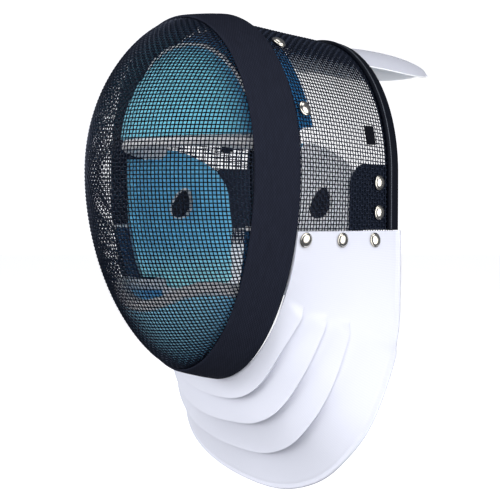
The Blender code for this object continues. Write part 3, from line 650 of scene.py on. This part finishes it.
def wires(name, lines, radius):
    """Many crimped wires as one piece. Each line has crossing points, outward directions and the side
    (+1 over, -1 under) on which it passes each crossing."""
    points, faces, caps = [], [], []
    start = 0
    for crossings, outward, over in lines:
        count = len(crossings)
        if count < 2:
            continue
        path = np.empty((2 * count - 1, 3))
        lift = np.empty((2 * count - 1, 3))
        path[0::2] = crossings + outward * (over * radius)[:, None]
        path[1::2] = (crossings[:-1] + crossings[1:]) / 2
        lift[0::2] = outward
        lift[1::2] = outward[:-1] + outward[1:]
        rings = round_sections(path, np.gradient(path, axis=0), lift, radius, WIRE_SIDES)
        quads = quads_between(len(path), WIRE_SIDES, len(path) - 1, WIRE_SIDES)[0]
        points.append(rings.reshape(-1, 3))
        faces.append(quads[:, [0, 3, 2, 1]] + start)
        first = np.arange(WIRE_SIDES) + start
        start += len(path) * WIRE_SIDES
        caps += [first.tolist(), np.arange(start - 1, start - WIRE_SIDES - 1, -1).tolist()]
    faces = np.concatenate(faces).tolist() + caps
    data = new_mesh(name, np.concatenate(points).tolist(), faces, [FINISH["wire"]], sharp=80)
    return new_object(name, data)


def visor_level(points, inset=VISOR["inset"] + WALL / 2):
    """Zero on the visor at an inset from the trim's outside, below zero inside it: a dome, then a lip under
    the trim."""
    y = points[:, 1]
    half_width, up, down = ring_sizes(np.maximum(y, 0), inset)
    above = points[:, 2] >= 0
    power = np.where(above, RING["upper_power"], RING["lower_power"])
    reach = np.where(above, up, down)
    across, high = np.abs(points[:, 0] / half_width), np.abs(points[:, 2] / reach)
    gauge = (across ** power + high ** power) ** (1 / power)
    forward = np.maximum(-y, 0) / (VISOR["depth"] - (inset - VISOR["inset"]))
    return gauge ** (2 / VISOR["width_power"]) + forward ** (2 / VISOR["depth_power"]) - 1


def visor_outward(points):
    """The visor level's slope at points, by small steps along each axis."""
    step = 1e-5
    slope = np.empty_like(points)
    for axis in range(3):
        ahead, behind = points.copy(), points.copy()
        ahead[:, axis] += step
        behind[:, axis] -= step
        slope[:, axis] = (visor_level(ahead) - visor_level(behind)) / (2 * step)
    return slope


def crossing_near(guess, neighbours, pitch, middle_axis=None):
    """Crossings on the dome, one pitch from each neighbour, by Newton's steps. With a middle axis they also
    stay on the dome's middle line, where their place on that axis is zero."""
    for _ in range(NEWTON_STEPS):
        slopes = [2 * (guess - neighbour) for neighbour in neighbours] + [visor_outward(guess)]
        misses = [((guess - neighbour) ** 2).sum(1) - pitch ** 2 for neighbour in neighbours]
        misses.append(visor_level(guess))
        if middle_axis is not None:
            slopes.append(np.eye(3)[[middle_axis]])
            misses.append(guess[:, middle_axis])
        steps = np.linalg.solve(np.stack(slopes, axis=1), np.stack(misses, axis=1)[:, :, None])
        guess = guess - steps[:, :, 0]
    return guess


def next_crossings(left, below, corner):
    """Crossings one pitch from both neighbours. Where the cloth has sheared as far as its wires let it, the
    pitch stretches instead."""
    spread = np.linalg.norm(left - below, axis=1)
    pitch = np.maximum(WIRE_PITCH, spread / WIRE_LOCK)
    return crossing_near(left + below - corner, [left, below], pitch)


def axis_crossings(axis, direction, count):
    """Crossings one pitch apart along the dome's middle line, across (axis 0) or up and down (axis 2)."""
    made = [np.array([[0.0, -(VISOR["depth"] - WALL / 2), 0.0]])]
    step = np.zeros((1, 3))
    step[0, axis] = direction * WIRE_PITCH
    for _ in range(count):
        made.append(crossing_near(made[-1] + step, [made[-1]], WIRE_PITCH, 2 - axis))
        step = made[-1] - made[-2]
    return np.concatenate(made)


def dome_net():
    """Crossings of the visor's wires, as cloth pressed into a dome: [column, row, point], with the
    foremost point in the middle."""
    columns, up_rows, down_rows = VISOR["columns"], VISOR["up_rows"], VISOR["down_rows"]
    net = np.full((2 * columns + 1, up_rows + down_rows + 1, 3), np.nan)
    across = axis_crossings(0, 1, columns)
    for direction, rows in ((1, up_rows), (-1, down_rows)):
        quarter = np.full((columns + 1, rows + 1, 3), np.nan)
        quarter[:, 0] = across
        quarter[0, :] = axis_crossings(2, direction, rows)
        for diagonal in range(2, columns + rows + 1):
            i = np.arange(max(1, diagonal - rows), min(columns, diagonal - 1) + 1)
            j = diagonal - i
            left, below, corner = quarter[i - 1, j], quarter[i, j - 1], quarter[i - 1, j - 1]
            good = ~(np.isnan(left).any(1) | np.isnan(below).any(1))
            good[good] &= np.maximum(left[good, 1], below[good, 1]) < VISOR["net_depth"]
            if good.any():
                quarter[i[good], j[good]] = next_crossings(left[good], below[good], corner[good])
        for row in range(rows + 1):
            net[columns:, down_rows + direction * row] = quarter[:, row]
    net[:columns] = net[columns + 1:][::-1] * (-1, 1, 1)
    return net


def runs(keep):
    """Start and end of each unbroken run of kept places."""
    edges = np.flatnonzero(np.diff(np.concatenate([[0], keep.astype(int), [0]])))
    return list(zip(edges[0::2], edges[1::2]))


def wires_of(net, outward, keep, along, sign):
    """The lines of one family of wires: along 0 follows the columns' index, along 1 the rows'."""
    columns, rows = net.shape[:2]
    over = (1 - 2 * ((np.arange(columns)[:, None] + np.arange(rows)[None]) % 2)) * sign
    lines = []
    for place in range(rows if along == 0 else columns):
        pick = (slice(None), place) if along == 0 else (place, slice(None))
        for start, end in runs(keep[pick]):
            lines.append((net[pick][start:end], outward[pick][start:end], over[pick][start:end]))
    return lines


def put_on_cloth(names, net, outward, keep, radius, node):
    """Both families of a net's wires take their place, the one along its rows' index first."""
    for name, along, sign in zip(names, (1, 0), (1, -1)):
        cloth = wires(name, wires_of(net, outward, keep, along, sign), radius)
        put_on(cloth, [node])


def make_visor():
    """Wire cloth pressed into a dome, its rim tucked under the trim."""
    net = dome_net()
    keep = ~np.isnan(net).any(2)
    keep[keep] &= net[keep][:, 1] < VISOR["tuck"]
    outward = np.zeros_like(net)
    slope = visor_outward(net[keep])
    outward[keep] = slope / np.linalg.norm(slope, axis=1)[:, None]
    names = ("visor_upright_wires", "visor_cross_wires")
    put_on_cloth(names, net, outward, keep, VISOR["wire"], "front_mesh")


def make_hood():
    """Arches of wire, and long wires from the trim to the rear edge."""
    depths = np.arange(HOOD["front"], HOOD["rear"], WIRE_PITCH)
    net = np.stack([hood_arch(y, WALL / 2, HOOD["hem"], HOOD["long_wires"]) for y in depths])
    outward = np.cross(np.gradient(net, axis=0), np.gradient(net, axis=1))
    outward /= np.linalg.norm(outward, axis=2)[:, :, None]
    keep = np.ones(net.shape[:2], bool)
    put_on_cloth(("hood_arch_wires", "hood_long_wires"), net, outward, keep, HOOD["wire"], "hood_mesh")


# ---------------------------------------------------------------- trim and binding

def make_trim():
    """A band of tape over a rim, softly crowned, its edges rolled in; thin where it laps over the visor."""
    thickness, lip = TRIM["thickness"], VISOR["inset"] - TRIM["lap"]
    inside = [(share, -thickness) for share in TRIM["inside"]]
    section = [(TRIM["lip_front"], -lip)] + TRIM_FACE + inside + [(TRIM["lip_rear"], -lip)]
    stations = []
    for angle in turns(POINTS["trim"]):
        points = []
        for share, out in section:
            y = share * TRIM["depth"]
            x, z = egg(angle, *ring_sizes(y, -out))
            points.append((x, y, z))
        stations.append(points)
    put_on(swept("trim_tape", stations, FINISH["tape"], closed=True), ["trim"])


def make_binding():
    """Vinyl binding wrapped over the hood's rear edge, with a cord along its inner seam."""
    wall, inside, rear = BINDING["wall"], WALL + GAP, HOOD_SECTIONS[-1]["y"]
    front = rear - BINDING["width"]
    lip = [(front + behind, share * wall) for behind, share in BINDING_LIP]
    crown_ends = (front + BINDING["crown_front"], rear - BINDING["crown_rear"])
    crown = [(y, BINDING["crown"] * wall) for y in crown_ends]
    roll = [(rear + behind, share * wall) for behind, share in BINDING_ROLL]
    section = [(y, GAP + out) for y, out in lip + crown + roll]
    section += [(rear + GAP + wall, -BINDING["back_top"]), (rear + GAP + wall, -WALL)]
    section += [(y, -inside - out) for y, out in reversed(lip + roll)]
    section += [(rear + GAP, -inside), (rear + GAP, GAP)]
    rails = []
    for y, out in section:
        points = hood_arch(min(y, rear), -out, BINDING["end"], POINTS["binding"])
        points[:, 1] = y
        rails.append(points)
    binding = swept("binding_tape", np.stack(rails, axis=1), FINISH["vinyl"])
    put_on(binding, ["back_binding"])
    seam = hood_arch(front + BINDING["cord_from_front"], -(GAP + BINDING["cord_out"] * wall),
                     BINDING["cord_end"], POINTS["binding_cord"])
    put_on(tube("binding_seam_cord", seam, BINDING["cord"], FINISH["grey_cord"]))


# ---------------------------------------------------------------- bib

def bib_line_point(line, spoke):
    """A point of one of the bib's lines; a negative spoke is on the wearer's right."""
    rows = [np.array(point) for point in line]
    mirrored = rows[1] * (-1, 1, 1)
    point = smooth_between([mirrored] + rows, abs(spoke) + 1)
    return point * (-1 if spoke < 0 else 1, 1, 1)


def bib_grid():
    """The bib's surface before it is pleated: the spokes across, the places between its lines down."""
    last = len(BIB_LINES[0]) - 1
    spokes = np.linspace(-last, last, 2 * last * POINTS["bib_spoke"] + 1)
    bands = len(BIB_LINES) - 1
    places = [band + share for band in range(bands) for share in BIB_ROWS] + [bands]
    grid = np.empty((len(places), len(spokes), 3))
    for column, spoke in enumerate(spokes):
        lines = [bib_line_point(line, spoke) for line in BIB_LINES]
        for line, raised in enumerate(BIB["raised"]):
            lines[line] = lines[line] + (lines[max(line - 1, 0)] - lines[line]) * raised
        for row, place in enumerate(places):
            grid[row, column] = smooth_between(lines, place)
    return np.array(places), spokes, grid


def pleat_heights(places, spokes):
    """How far the bib stands out from its plain surface: a pleat swells to its lower edge, then tucks in."""
    last_band = len(BIB_LINES) - 2
    band = np.minimum(np.floor(places), last_band)
    share = places - band
    rise = np.where(band < last_band, BIB["rise"], BIB["last_rise"])
    swell = rise * np.clip(share, 0, 1) ** BIB["curve"]
    past_lip = np.clip((share - BIB["lip"]) / (1 - BIB["lip"]), 0, 1)
    lip = np.where(band < last_band, 1 - BIB["lip_tuck"] * past_lip ** 2, 1.0)
    fade = np.clip((BIB["seam_spoke"] - np.abs(spokes)) / BIB["seam_fade"], 0, 1)
    fade = fade * fade * (3 - 2 * fade)
    return (swell * lip)[:, None] * fade[None]


def make_bib():
    """Twill outside and lining inside, with three pleats and a rolled, stitched hem."""
    places, spokes, grid = bib_grid()
    outward = np.cross(np.gradient(grid, axis=0), np.gradient(grid, axis=1))
    outward /= np.linalg.norm(outward, axis=2)[:, :, None]
    hem = np.clip((places - BIB["hem"]) / (len(BIB_LINES) - 1 - BIB["hem"]), 0, 1)
    stitched = np.abs(places - BIB["stitch"]) < BIB["stitch_half"]
    roll = BIB["hem_rise"] * np.sin(np.pi * hem) - BIB["stitch_depth"] * stitched
    outer = grid + outward * (pleat_heights(places, spokes) + roll[:, None])[:, :, None]
    inner = grid - outward * BIB["thickness"]
    bib = skin("throat_bib", outer, inner, [FINISH["twill"], FINISH["lining"]], sharp=60)
    put_on(bib, ["bib"])


# ---------------------------------------------------------------- tongue

def tongue_point_pair(section, across):
    """The tongue's top and underside at a section, across from -1 to 1."""
    y, half_width, crest, drop = section
    width_share = min(1.0, half_width / TONGUE["full_from"])
    below = crest - drop * across ** 2 - TONGUE["thickness"] * (0.5 + 0.5 * width_share)
    thinned = 1 - TONGUE["thinning"] * abs(across) ** TONGUE["thinning_power"]
    full = TONGUE["thickness"] * width_share * thinned
    return (half_width * across, y, below + full), (half_width * across, y, below)


def make_tongue():
    """A leaf of foam in white cloth: its top bellies, its underside follows its crest, its piped edge is
    thin."""
    table = np.array(TONGUE_SECTIONS)
    rows, columns = POINTS["tongue"]
    sections = [smooth_between(table, place) for place in np.linspace(0, len(table) - 1, rows)]
    upper, lower = face_pair(sections, np.linspace(-1, 1, columns), tongue_point_pair)
    leaf = skin("tongue_cover", upper, lower, [FINISH["twill"], FINISH["lining"]], sharp=70)
    put_on(leaf, ["tongue"])
    edges = (upper + lower) / 2
    rim = [point for point in (*edges[:, -1], *edges[::-1, 0]) if point[1] > TONGUE["piped_from"]]
    put_on_piping("tongue_piping", rim, TONGUE["piping"], "lining")


# ---------------------------------------------------------------- pads

def brow_point(inset, turn, lift):
    """The brow cushion: a cup that begins at its lower edge, higher at the temples, and bears on the hood's
    crown."""
    width, top, _ = hood_sizes(BROW["rear"])
    clear = WALL + 2 * GAP + inset
    end = top - clear
    rear_share = (abs(math.degrees(turn)) - BROW["rear_from"]) / BROW["rear_span"]
    edge = BROW["edge"] + BROW["rear_rise"] * min(1.0, max(0.0, rear_share))
    z = edge + (end - edge) * math.sin(lift)
    across = signed_power(math.sin(turn), BROW["plan"])
    forward = (BROW["reach"] - inset) * math.cos(lift) * abs(math.cos(turn)) ** BROW["plan"]
    half_width = (width - clear) * math.sqrt(max(0.0, 1 - (z / end) ** 2))
    return np.array((half_width * across, BROW["rear"] - forward, z))


def chin_point(inset, turn, lift):
    """The chin cushion: it lines the lower end of the visor. Its upper edge dips in the middle and peaks
    halfway to each side."""
    inset = VISOR["inset"] + WALL + CHIN["clearance"] + inset
    _, _, down = ring_sizes(CHIN["rear"], inset)
    ahead = max(math.cos(turn), 0.0)
    edge = CHIN["edge"] - CHIN["dip"] * ahead ** CHIN["dip_power"]
    edge += CHIN["peak"] * math.sin(math.pi * ahead ** 2) ** 2
    z = edge + (-down - edge) * math.sin(lift)

    def place(reach):
        return np.array((reach * math.sin(turn), CHIN["rear"] - reach * math.cos(turn), z))

    reach = last_place(0.0, CHIN["farthest"], lambda reach: visor_level(place(reach)[None], inset)[0] < 0)
    return place(reach)


def fullness(share, sewn):
    """How full a pad is: from sewn at its seams, where the share is 0, to 1."""
    return sewn + (1 - sewn) * math.sqrt(max(share, 0.0))


def make_cup_pad(name, point, finish, node):
    """Foam under brushed knit, full in the middle and thinner where it is sewn."""
    def point_pair(rise, across):
        slope, start = CUP["seam_slope"], CUP["seam_start"]
        ends = slope * rise + start, slope * (CUP["last"] - rise) + start
        full = fullness(min(1.0, slope * (1 - abs(across)), *ends), CUP["sewn"])
        turn, lift = across * math.pi / 2, rise * math.pi / 2
        return point(CUP["draw_in"] * (1 - full), turn, lift), point(PAD_THICKNESS * full, turn, lift)

    rows, columns = POINTS["cup"]
    outer, inner = face_pair(np.linspace(0, CUP["last"], rows), np.linspace(-1, 1, columns), point_pair)
    pad = skin(name, outer, inner, [finish], sharp=80)
    put_on(pad, [node])


def make_cup_edging(name, point, away, node, heights, ends=1.0):
    """Soft white tape rolled round the pad's free edge; away is +1 or -1, the way it stands off. Its height
    goes from the first of heights in front to the second at the sides."""
    along, around = POINTS["edging"]
    stations = []
    for across in np.linspace(-ends, ends, along):
        side_share = min(1.0, max(0.0, EDGING["slope"] * abs(across) - 1.0))
        height = heights[0] + (heights[1] - heights[0]) * side_share
        points = []
        for angle in turns(around):
            wide = signed_power(math.cos(angle), EDGING["wide_power"])
            high = signed_power(math.sin(angle), EDGING["high_power"])
            corner = point(PAD_THICKNESS * (0.5 + 0.5 * wide), across * math.pi / 2, 0.0)
            corner[2] += away * (GAP + (height - GAP) * (0.5 + 0.5 * high))
            points.append(corner)
        stations.append(points)
    edging = swept(name, stations, FINISH["piping"], sharp=80)
    put_on(edging, [node])


def ahead_of_seam(turn, lift):
    """Whether a point of the brow cushion's face lies on its front panel."""
    _, y, z = brow_point(0.0, turn, lift)
    return y < BROW["seam"] + BROW["seam_lean"] * z


def make_brow_seam():
    """The piped seam that arches over the brow cushion's face, where its front panel ends."""
    line = []
    for turn in np.linspace(-math.pi / 2, math.pi / 2, POINTS["brow_seam"]):
        if ahead_of_seam(turn, 0.0):
            lift = last_place(0.0, CUP["last"] * math.pi / 2, lambda lift: ahead_of_seam(turn, lift))
            line.append(brow_point(-BROW["seam_out"], turn, lift))
    put_on_piping("brow_seam_piping", line, PIPING["brow"])


def lining_point(inset, y, z):
    """A point that lies inside the visor's edge at a depth and a height, on the wearer's left."""
    def inside(x):
        return visor_level(np.array([[x, y, z]]), inset)[0] < 0

    return np.array((last_place(0.0, RING["half_width"], inside), y, z))


def make_side_lining(side_name, hand):
    """Cloth that lines the visor's edge beside the chin cushion, navy as painted shade, with a white piping
    on top.
    """
    low, high = LINING["low"], LINING["high"]
    faces = (LINING["inset"], LINING["inset"] + LINING["thickness"])

    def point_pair(z, share):
        front = LINING["front"] + LINING["slant"] * (high - z)
        y = front + (LINING["rear"] - front) * share
        return [lining_point(inset, y, z) * (hand, 1, 1) for inset in faces]

    rows, columns = POINTS["lining"]
    outer, inner = face_pair(np.linspace(low, high, rows), np.linspace(0, 1, columns), point_pair)
    # Its navy knit is painted shade
    band = skin(f"side_lining_{side_name}", outer, inner, [FINISH["navy_painted_shade_knit"]], sharp=80)
    put_on(band)
    edge = [lining_point(sum(faces) / 2, y, high) * (hand, 1, 1)
            for y in np.linspace(LINING["front"], LINING["rear"], POINTS["lining_piping"])]
    put_on_piping(f"side_lining_piping_{side_name}", edge, PIPING["lining"])


def inner_wall(y, z, inset):
    """Half width of the room inside the mask at a depth and a height: under the trim, then under the hood."""
    if y <= TRIM["depth"]:
        return egg_half_width(z, *ring_sizes(y, INSIDE_WIRE + inset))
    hood = hood_wall(y, z, WALL + GAP + inset)
    return hood if z >= HOOD["hem"] else min(hood, inner_wall(TRIM["depth"], z, inset))


def outline_reach(outline, angle):
    """How far an outline lies from the vent's centre at an angle."""
    centre = np.array((VENT["y"], VENT["z"]))
    direction = np.array((math.cos(angle), math.sin(angle)))
    best = 0.0
    ends = np.roll(outline, -1, axis=0)
    for start, end in zip(outline - centre, ends - centre):
        edge = end - start
        cross = direction[0] * edge[1] - direction[1] * edge[0]
        if abs(cross) < ROUNDING:
            continue
        reach = (start[0] * edge[1] - start[1] * edge[0]) / cross
        place = (start[0] * direction[1] - start[1] * direction[0]) / cross
        if reach > 0 and -ROUNDING <= place <= 1 + ROUNDING:
            best = max(best, reach)
    return best


def vent_point(angle, share):
    """Depth and height of a point of the vent, an egg that is narrower on top and leans back a little."""
    high = share * math.sin(angle)
    wide = share * math.cos(angle) * (1 - VENT["narrowing"] * high)
    return VENT["y"] + VENT["radius_y"] * wide + VENT["lean"] * high, VENT["z"] + VENT["radius_z"] * high


def make_cheek(side_name, hand):
    """Foam pad, blue knit towards the cheek and white lining outside, its oval vent rimmed in white tape."""
    rows, columns = POINTS["cheek"]
    angles = turns(columns)
    rays = [(angle, outline_reach(np.array(CHEEK_OUTLINE), angle)) for angle in angles]

    def point_pair(out, ray):
        angle, reach = ray
        hole_y, hole_z = vent_point(angle, 1.0)
        y = hole_y + (VENT["y"] + reach * math.cos(angle) - hole_y) * out
        z = hole_z + (VENT["z"] + reach * math.sin(angle) - hole_z) * out
        room = reach - math.hypot(hole_y - VENT["y"], hole_z - VENT["z"])
        rolls = room * out / CHEEK["vent_roll"], room * (1 - out) / CHEEK["edge_roll"]
        full = fullness(min(1.0, CHEEK["roll_start"] + min(rolls)), CHEEK["sewn"])
        wall = inner_wall(y, z, CHEEK["clearance"])
        depths = CHEEK["draw_in"] * (1 - full), CHEEK["thickness"] * full
        return [(hand * (wall - depth), y, z) for depth in depths]

    outer, inner = face_pair(np.linspace(0, 1, rows), rays, point_pair)
    pad = skin(f"cheek_cushion_{side_name}", outer, inner, [FINISH["lining"], FINISH["cheek_knit"]],
               closed=True, sharp=80, rim_finish=1)
    put_on(pad, [f"cheek_pad_{side_name}"])
    middle = inner_wall(VENT["y"], VENT["z"], CHEEK["clearance"])
    for label, depth in VENT_RIM_DEPTHS.items():
        ring = [(hand * (middle - depth), *vent_point(angle, VENT["rim_share"])) for angle in angles]
        put_on_piping(f"vent_rim_{label}_{side_name}", ring, PIPING["vent"], closed=True)


def make_ear_net(side_name, hand):
    """A disc of spacer net across the vent, near the pad's outer face."""
    middle = inner_wall(VENT["y"], VENT["z"], CHEEK["clearance"]) - VENT["net_depth"]

    def point_pair(share, angle):
        place = vent_point(angle, VENT["net_share"] * share)
        return (hand * (middle + VENT["net_thickness"]), *place), (hand * middle, *place)

    outer, inner = face_pair(VENT["net_rings"], turns(POINTS["net"]), point_pair)
    net = skin(f"vent_net_{side_name}", outer, inner, [FINISH["net"]], closed=True)
    put_on(net, [f"ear_net_{side_name}"])


# ---------------------------------------------------------------- small pieces on the hood

def plate_on_hood(name, hand, area, start, thickness, finish):
    """A thin piece that follows the hood; start is how far its face lies outside the wire cloth."""
    def point_pair(share, rise):
        y = area["front"] + (area["rear"] - area["front"]) * share
        cut_away = max(0.0, 1 - share / PATCH["corner_share"]) ** 2
        top = area["top"] - area.get("corner", 0.0) * cut_away
        z = area["bottom"] + (top - area["bottom"]) * rise
        return [(hand * (hood_wall(y, z) + out), y, z) for out in (start, start - thickness)]

    steps = np.linspace(0, 1, POINTS["plate"])
    return skin(name, *face_pair(steps, steps, point_pair), [finish], sharp=60)


def make_hood_pieces(side_name, hand):
    """The vinyl patch inside the hood's rear corner, and the two squares of the hook tab outside it."""
    # The patch's vinyl is lighter than the binding's as a painted sheen for the wires' glints
    patch = plate_on_hood(f"rear_lining_patch_{side_name}", hand, PATCH, -WALL - GAP, PATCH["thickness"],
                          FINISH["patch_vinyl_with_painted_sheen"])
    put_on(patch, [f"rear_patch_{side_name}"])
    for number, square in enumerate(TAB_SQUARES, start=1):
        tab = plate_on_hood(f"hook_square_{number}_{side_name}", hand, square, square["out"], TAB_THICKNESS,
                            FINISH["hooks"])
        put_on(tab, [f"hook_tab_{side_name}"])


def snap_mesh():
    """A snap's cap: a low rim and a gently domed face, from its foot to its middle as radius and height."""
    profile = [(0.0060, 0.0000), (0.0060, 0.0005), (0.0058, 0.0009), (0.0054, 0.0011), (0.0051, 0.0012),
               (0.0049, 0.0015), (0.0046, 0.0019), (0.0041, 0.0022), (0.0033, 0.0025), (0.0024, 0.00275),
               (0.0012, 0.0029)]
    crown, sides = 0.0030, POINTS["snap"]
    points = [(radius * math.cos(angle), radius * math.sin(angle), height) for radius, height in profile
              for angle in turns(sides)]
    faces = quads_between(len(profile), sides, len(profile) - 1, sides)[0].tolist()
    top = len(points) - sides
    faces += [(top + side, top + (side + 1) % sides, len(points)) for side in range(sides)]
    faces.append(tuple(reversed(range(sides))))
    return new_mesh("ring_snap", points + [(0.0, 0.0, crown)], faces, [FINISH["nickel"]], sharp=60)


def make_snaps():
    """One pressed cap on the place of each CAD snap, set square to it."""
    shared = snap_mesh()
    foot_layer = 0.0002
    for node, solid in sorted(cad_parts.items()):
        if "_snap_" not in node:
            continue
        points = np.array([vertex.co for vertex in solid.data.vertices])
        centre = points.mean(0)
        axis = np.linalg.svd(points - centre)[2][2]
        axis *= 1 if axis[0] * centre[0] > 0 else -1
        heights = (points - centre) @ axis
        foot = points[heights < heights.min() + foot_layer].mean(0)
        cap = new_object(f"{node}_cap", shared)
        turn = Vector(axis).to_track_quat("Z", "Y").to_matrix().to_4x4()
        cap.matrix_world = Matrix.Translation(Vector(foot)) @ turn
        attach(cap, "root")
        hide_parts(node)


# ---------------------------------------------------------------- floor and light

def make_stage():
    """Matt paper on the floor, grey under the mask as a painted shadow, and a white wall all round. The wall
    is there for the eye alone and the paper isn't mirrored, so the black wires stay as black as in a dim
    studio."""
    low = CAD_BOX[0].z - FLOOR["below"]
    edge = [(FLOOR["radius"] * math.cos(angle), FLOOR["radius"] * math.sin(angle), low)
            for angle in turns(FLOOR["sides"])]
    floor_data = bpy.data.meshes.new("floor")
    floor_data.from_pydata(edge, [], [tuple(range(FLOOR["sides"]))])
    paper, tree, shader = new_finish("white_paper", Roughness=0.9, Specular_IOR_Level=0.1,
                                     Emission_Color=colour("#fdfdff"))
    out = add(tree, "ShaderNodeVectorMath", {"operation": "LENGTH"},
              i0=add(tree, "ShaderNodeTexCoord").outputs["Object"])
    far = add(tree, "ShaderNodeMapRange", {"interpolation_type": "SMOOTHSTEP"}, i0=out.outputs["Value"],
              i1=FLOOR["shade_from"], i2=FLOOR["shade_to"])
    # Painted shadow: the paper is grey under the mask and white further out
    blend_colours(tree, shader, far, "#c9cacf", "#fdfdfe")
    glow = add(tree, "ShaderNodeMath", {"operation": "MULTIPLY"}, i0=far, i1=FLOOR["glow"])
    tree.links.new(glow.outputs[0], shader.inputs["Emission Strength"])
    floor_data.materials.append(paper)

    wall_data = bpy.data.meshes.new("white_wall")
    shell = bmesh.new()
    bmesh.ops.create_icosphere(shell, subdivisions=4, radius=FLOOR["radius"])
    shell.to_mesh(wall_data)
    shell.free()
    glowing = new_finish("white_wall", Emission_Color=colour("#fdfdff"), Emission_Strength=1.0)[0]
    wall_data.materials.append(glowing)

    floor, wall = new_object("floor", floor_data), new_object("white_wall", wall_data)
    floor.visible_glossy = floor.visible_diffuse = False
    wall.visible_glossy = wall.visible_diffuse = wall.visible_shadow = wall.visible_transmission = False


def soft_light(name, azimuth, elevation, distance, size, strength, gives):
    """A round soft box; strength is the brightness that it gives a white card turned to it. One that gives
    only light leaves no sheen on the wires, as behind a polariser; one that gives only sheen is a white
    card that they mirror."""
    data = bpy.data.lights.new(name, "AREA")
    data.shape = "DISK"
    data.size = size
    data.energy = strength * math.pi ** 2 * distance ** 2
    lamp = new_object(name, data)
    look_from(lamp, LAMP_TARGET, azimuth, elevation, distance)
    lamp.visible_camera = False
    lamp.visible_glossy = gives != "light"
    lamp.visible_diffuse = gives != "sheen"


def light_studio():
    """A dim studio: a large soft box over the camera, others on both sides, and white cards."""
    world = bpy.data.worlds.new("studio")
    bpy.context.scene.world = world
    world.use_nodes = True
    background = world.node_tree.nodes["Background"]
    background.inputs["Color"].default_value = colour("#dfe5f4")
    background.inputs["Strength"].default_value = 0.14
    for name, settings in LAMPS.items():
        soft_light(name, *settings)
    bpy.context.scene.view_settings.view_transform = "Standard"


# ---------------------------------------------------------------- the mask

make_visor()
make_hood()
make_trim()
make_binding()
make_bib()
make_tongue()
make_cup_pad("brow_cushion", brow_point, FINISH["brow_knit"], "forehead_pad")
make_cup_edging("brow_edging", brow_point, -1, "forehead_edging", EDGING["brow"], BROW["edging_ends"])
make_brow_seam()
make_cup_pad("chin_cushion", chin_point, FINISH["chin_knit"], "chin_pad")
make_cup_edging("chin_edging_tape", chin_point, 1, "chin_edging", EDGING["chin"])
for side_name, hand in (("left", 1), ("right", -1)):
    make_side_lining(side_name, hand)
    make_cheek(side_name, hand)
    make_ear_net(side_name, hand)
    make_hood_pieces(side_name, hand)
make_snaps()

make_stage()
light_studio()
